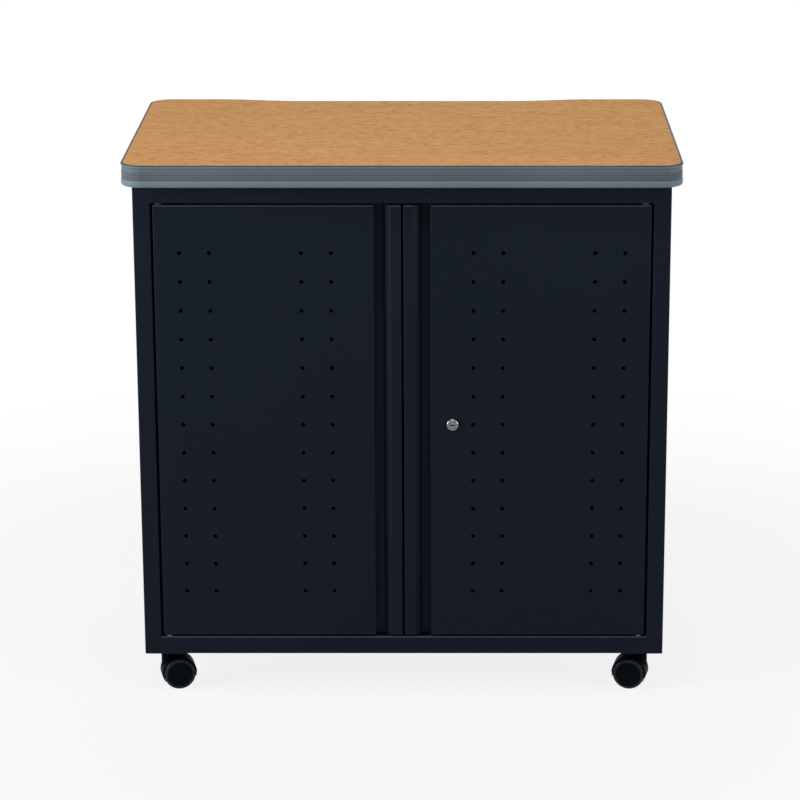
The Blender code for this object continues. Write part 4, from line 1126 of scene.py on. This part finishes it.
# Each pair is a share of the wall, from the face inwards, and a share of the worktop's thickness.
FACE_SHARES = (
    (1.00, 1.000), (0.34, 1.000), (0.14, 0.990), (0.03, 0.970), (0.00, 0.945), (0.00, 0.905), (0.08, 0.882),
    (0.30, 0.868), (0.42, 0.855), (0.40, 0.760), (0.38, 0.672), (0.44, 0.650), (0.60, 0.635), (0.40, 0.622),
    (0.20, 0.610), (0.14, 0.595), (0.20, 0.578), (0.40, 0.562), (0.60, 0.545), (0.40, 0.525), (0.20, 0.510),
    (0.14, 0.490), (0.20, 0.472), (0.40, 0.458), (0.60, 0.440), (0.40, 0.422), (0.20, 0.405), (0.14, 0.385),
    (0.20, 0.368), (0.40, 0.350), (0.60, 0.330), (0.34, 0.305), (0.14, 0.285), (0.03, 0.255), (0.00, 0.220),
    (0.00, 0.150), (0.04, 0.105), (0.12, 0.065), (0.26, 0.030), (0.45, 0.008), (0.62, 0.000), (1.00, 0.000),
)


def vinyl():
    material, tree, shader, place = new_material("extruded PVC edging")
    drift = add_node(
        tree, "ShaderNodeTexNoise", {"Vector": place, "Scale": 1 / VINYL_DRIFT_LENGTH, "Detail": 3}
    ).outputs["Fac"]
    line_scale = (1 / DIE_LINE_LENGTH, 1 / DIE_LINE_LENGTH, 1 / DIE_LINE_SPACING)
    flat = add_node(tree, "ShaderNodeMapping", {"Vector": place, "Scale": line_scale}).outputs["Vector"]
    lines = add_node(tree, "ShaderNodeTexNoise", {"Vector": flat, "Scale": 1, "Detail": 2}).outputs["Fac"]
    # The colour by height paints light and shade onto the moulding's bead, ribs, band and lip.
    height = add_node(tree, "ShaderNodeSeparateXYZ", {"Vector": place}).outputs["Z"]
    share = add_node(
        tree, "ShaderNodeMapRange", {"Value": height, "From Min": top_low.z, "From Max": top_high.z}
    ).outputs["Result"]
    ramp = add_node(tree, "ShaderNodeValToRGB", {"Fac": share})
    for position, _ in VINYL_PAINTED_SHADING[1:-1]:
        ramp.color_ramp.elements.new(position)
    for stop, (position, hex_colour) in zip(ramp.color_ramp.elements, VINYL_PAINTED_SHADING):
        stop.position = position
        stop.color = linear(hex_colour)
    faded = add_node(tree, "ShaderNodeMapRange", {
        "Value": drift, "From Min": NOISE_LOW, "From Max": NOISE_HIGH, "To Max": VINYL_FADED_MOST,
    }).outputs["Result"]
    colour = add_node(
        tree, "ShaderNodeMix",
        {"Factor": faded, "A": ramp.outputs["Color"], "B": linear(VINYL_FADED)},
        data_type="RGBA",
    )
    tree.links.new(colour.outputs["Result"], shader.inputs["Base Color"])
    vary_gloss(tree, shader, lines, VINYL_SMOOTH, VINYL_DULL)
    bump = add_node(tree, "ShaderNodeBump", {"Height": lines, "Strength": 0.08, "Distance": DIE_LINE_HEIGHT})
    tree.links.new(bump.outputs["Normal"], shader.inputs["Normal"])
    shader.inputs["Specular IOR Level"].default_value = 0.1
    return material


thickness = top_high.z - top_low.z
half_height = (top_low.z + top_high.z) / 2
section = [
    (0, top_low.y + wall * MOULDING_WALL, top_low.z + height * thickness) for wall, height in FACE_SHARES
]
for inset, height in (
    (MOULDING_WALL, -TONGUE_HALF),
    (MOULDING_WALL + TONGUE_LENGTH, -TONGUE_HALF),
    (MOULDING_WALL + TONGUE_LENGTH, TONGUE_HALF),
    (MOULDING_WALL, TONGUE_HALF),
):
    section.append((0, top_low.y + inset, half_height + height))
moulding = draw_section("edge_moulding_extrusion", section)
walk_round_top()
close_up()
fit_piece(moulding, "cabinet", "vinyl_edge", vinyl(), "edge_moulding")

# Studio: a white room. The camera stands in front, a little to the right, and looks down.
# The lens and the pitch are worked out for a square picture of 800 pixels.
PICTURE = 800
SENSOR = 36.0
FOCAL_PIXELS = 3031
CAMERA_DISTANCE = 5.0
CAMERA_RIGHT = 0.078
CAMERA_HEIGHT = 2.003
CAMERA_PITCH = math.radians(16.22)
CAMERA_SHIFT = -0.06
# Each lamp's width and height, its place, what it is aimed at, and its watts. The strips beside the
# table are aimed up, so that its front darkens towards the floor.
SOFTBOXES = {
    "overhead": (2.0, 0.6, (-0.2, -0.95, 3.0), (0, -0.2, 0.7), 28),
    "left strip": (0.7, 2.2, (-2.6, -1.3, 1.45), (0, 0, 3.2), 90),
    "right strip": (0.7, 2.2, (2.6, -1.3, 1.45), (0, 0, 3.2), 48),
    "rear": (2.0, 1.6, (0.3, 2.6, 3.4), (0, 0, 0.5), 40),
}

camera_data = bpy.data.cameras.new("camera")
camera_data.sensor_width = SENSOR
camera_data.lens = SENSOR * FOCAL_PIXELS / PICTURE
camera_data.shift_x = CAMERA_SHIFT
camera = bpy.data.objects.new("camera", camera_data)
camera.location = (CAMERA_RIGHT, top_low.y - CAMERA_DISTANCE, CAMERA_HEIGHT)
camera.rotation_euler = (math.pi / 2 - CAMERA_PITCH, 0, 0)
bpy.context.collection.objects.link(camera)
bpy.context.scene.camera = camera

for name, (width, height, place, target, watts) in SOFTBOXES.items():
    lamp = bpy.data.lights.new(name, "AREA")
    lamp.shape = "RECTANGLE"
    lamp.size = width
    lamp.size_y = height
    lamp.energy = watts
    softbox = bpy.data.objects.new(name, lamp)
    softbox.location = place
    softbox.rotation_euler = (Vector(target) - Vector(place)).to_track_quat("-Z", "Y").to_euler()
    bpy.context.collection.objects.link(softbox)

# Floor and world: pale and plain. To the camera, and in gloss and glass, the room is pure white.
# The floor keeps the object's soft shadow near it and fades into the white further out.
FLOOR_SIZE = 60
SHADOW_REACH = 0.7
FADE_REACH = 1.9
FLOOR_PALE = "d8d8d8"
SHADOW_SHARE = 0.15
AMBIENT = 0.13
WHITE = "ffffff"


def is_seen(tree):
    """One for camera, glossy and transmission rays, nought for the light that falls on things."""
    rays = add_node(tree, "ShaderNodeLightPath").outputs
    either = add_node(
        tree, "ShaderNodeMath", {0: rays["Is Camera Ray"], 1: rays["Is Glossy Ray"]}, operation="MAXIMUM"
    ).outputs["Value"]
    return add_node(
        tree, "ShaderNodeMath", {0: either, 1: rays["Is Transmission Ray"]}, operation="MAXIMUM"
    ).outputs["Value"]


bpy.ops.object.select_all(action="DESELECT")
bpy.ops.mesh.primitive_plane_add(size=FLOOR_SIZE)
floor = bpy.context.object
floor.name = "floor"
material, tree, shader, place = new_material("white studio floor")
tree.nodes.remove(shader)
distance = add_node(tree, "ShaderNodeVectorMath", {"Vector": place}, operation="LENGTH").outputs["Value"]
fade = add_node(
    tree, "ShaderNodeMapRange",
    {"Value": distance, "From Min": SHADOW_REACH, "From Max": FADE_REACH, "To Min": 1 - SHADOW_SHARE},
    interpolation_type="SMOOTHSTEP",
).outputs["Result"]
share = add_node(tree, "ShaderNodeMath", {0: fade, 1: is_seen(tree)}, operation="MULTIPLY").outputs["Value"]
matt = add_node(tree, "ShaderNodeBsdfDiffuse", {"Color": linear(FLOOR_PALE)}).outputs["BSDF"]
glow = add_node(tree, "ShaderNodeEmission", {"Color": linear(WHITE), "Strength": 1}).outputs["Emission"]
blend = add_node(tree, "ShaderNodeMixShader", {"Fac": share, 1: matt, 2: glow}).outputs["Shader"]
tree.links.new(blend, tree.nodes["Material Output"].inputs["Surface"])
floor.data.materials.append(material)

world = bpy.data.worlds.new("white room")
bpy.context.scene.world = world
world.use_nodes = True
tree = world.node_tree
tree.nodes.clear()
room = {"Color": linear(WHITE), "Strength": AMBIENT}
soft = add_node(tree, "ShaderNodeBackground", room).outputs["Background"]
seen = add_node(tree, "ShaderNodeBackground", {**room, "Strength": 1}).outputs["Background"]
blend = add_node(tree, "ShaderNodeMixShader", {"Fac": is_seen(tree), 1: soft, 2: seen}).outputs["Shader"]
add_node(tree, "ShaderNodeOutputWorld", {"Surface": blend})
bpy.context.scene.view_settings.view_transform = "Standard"
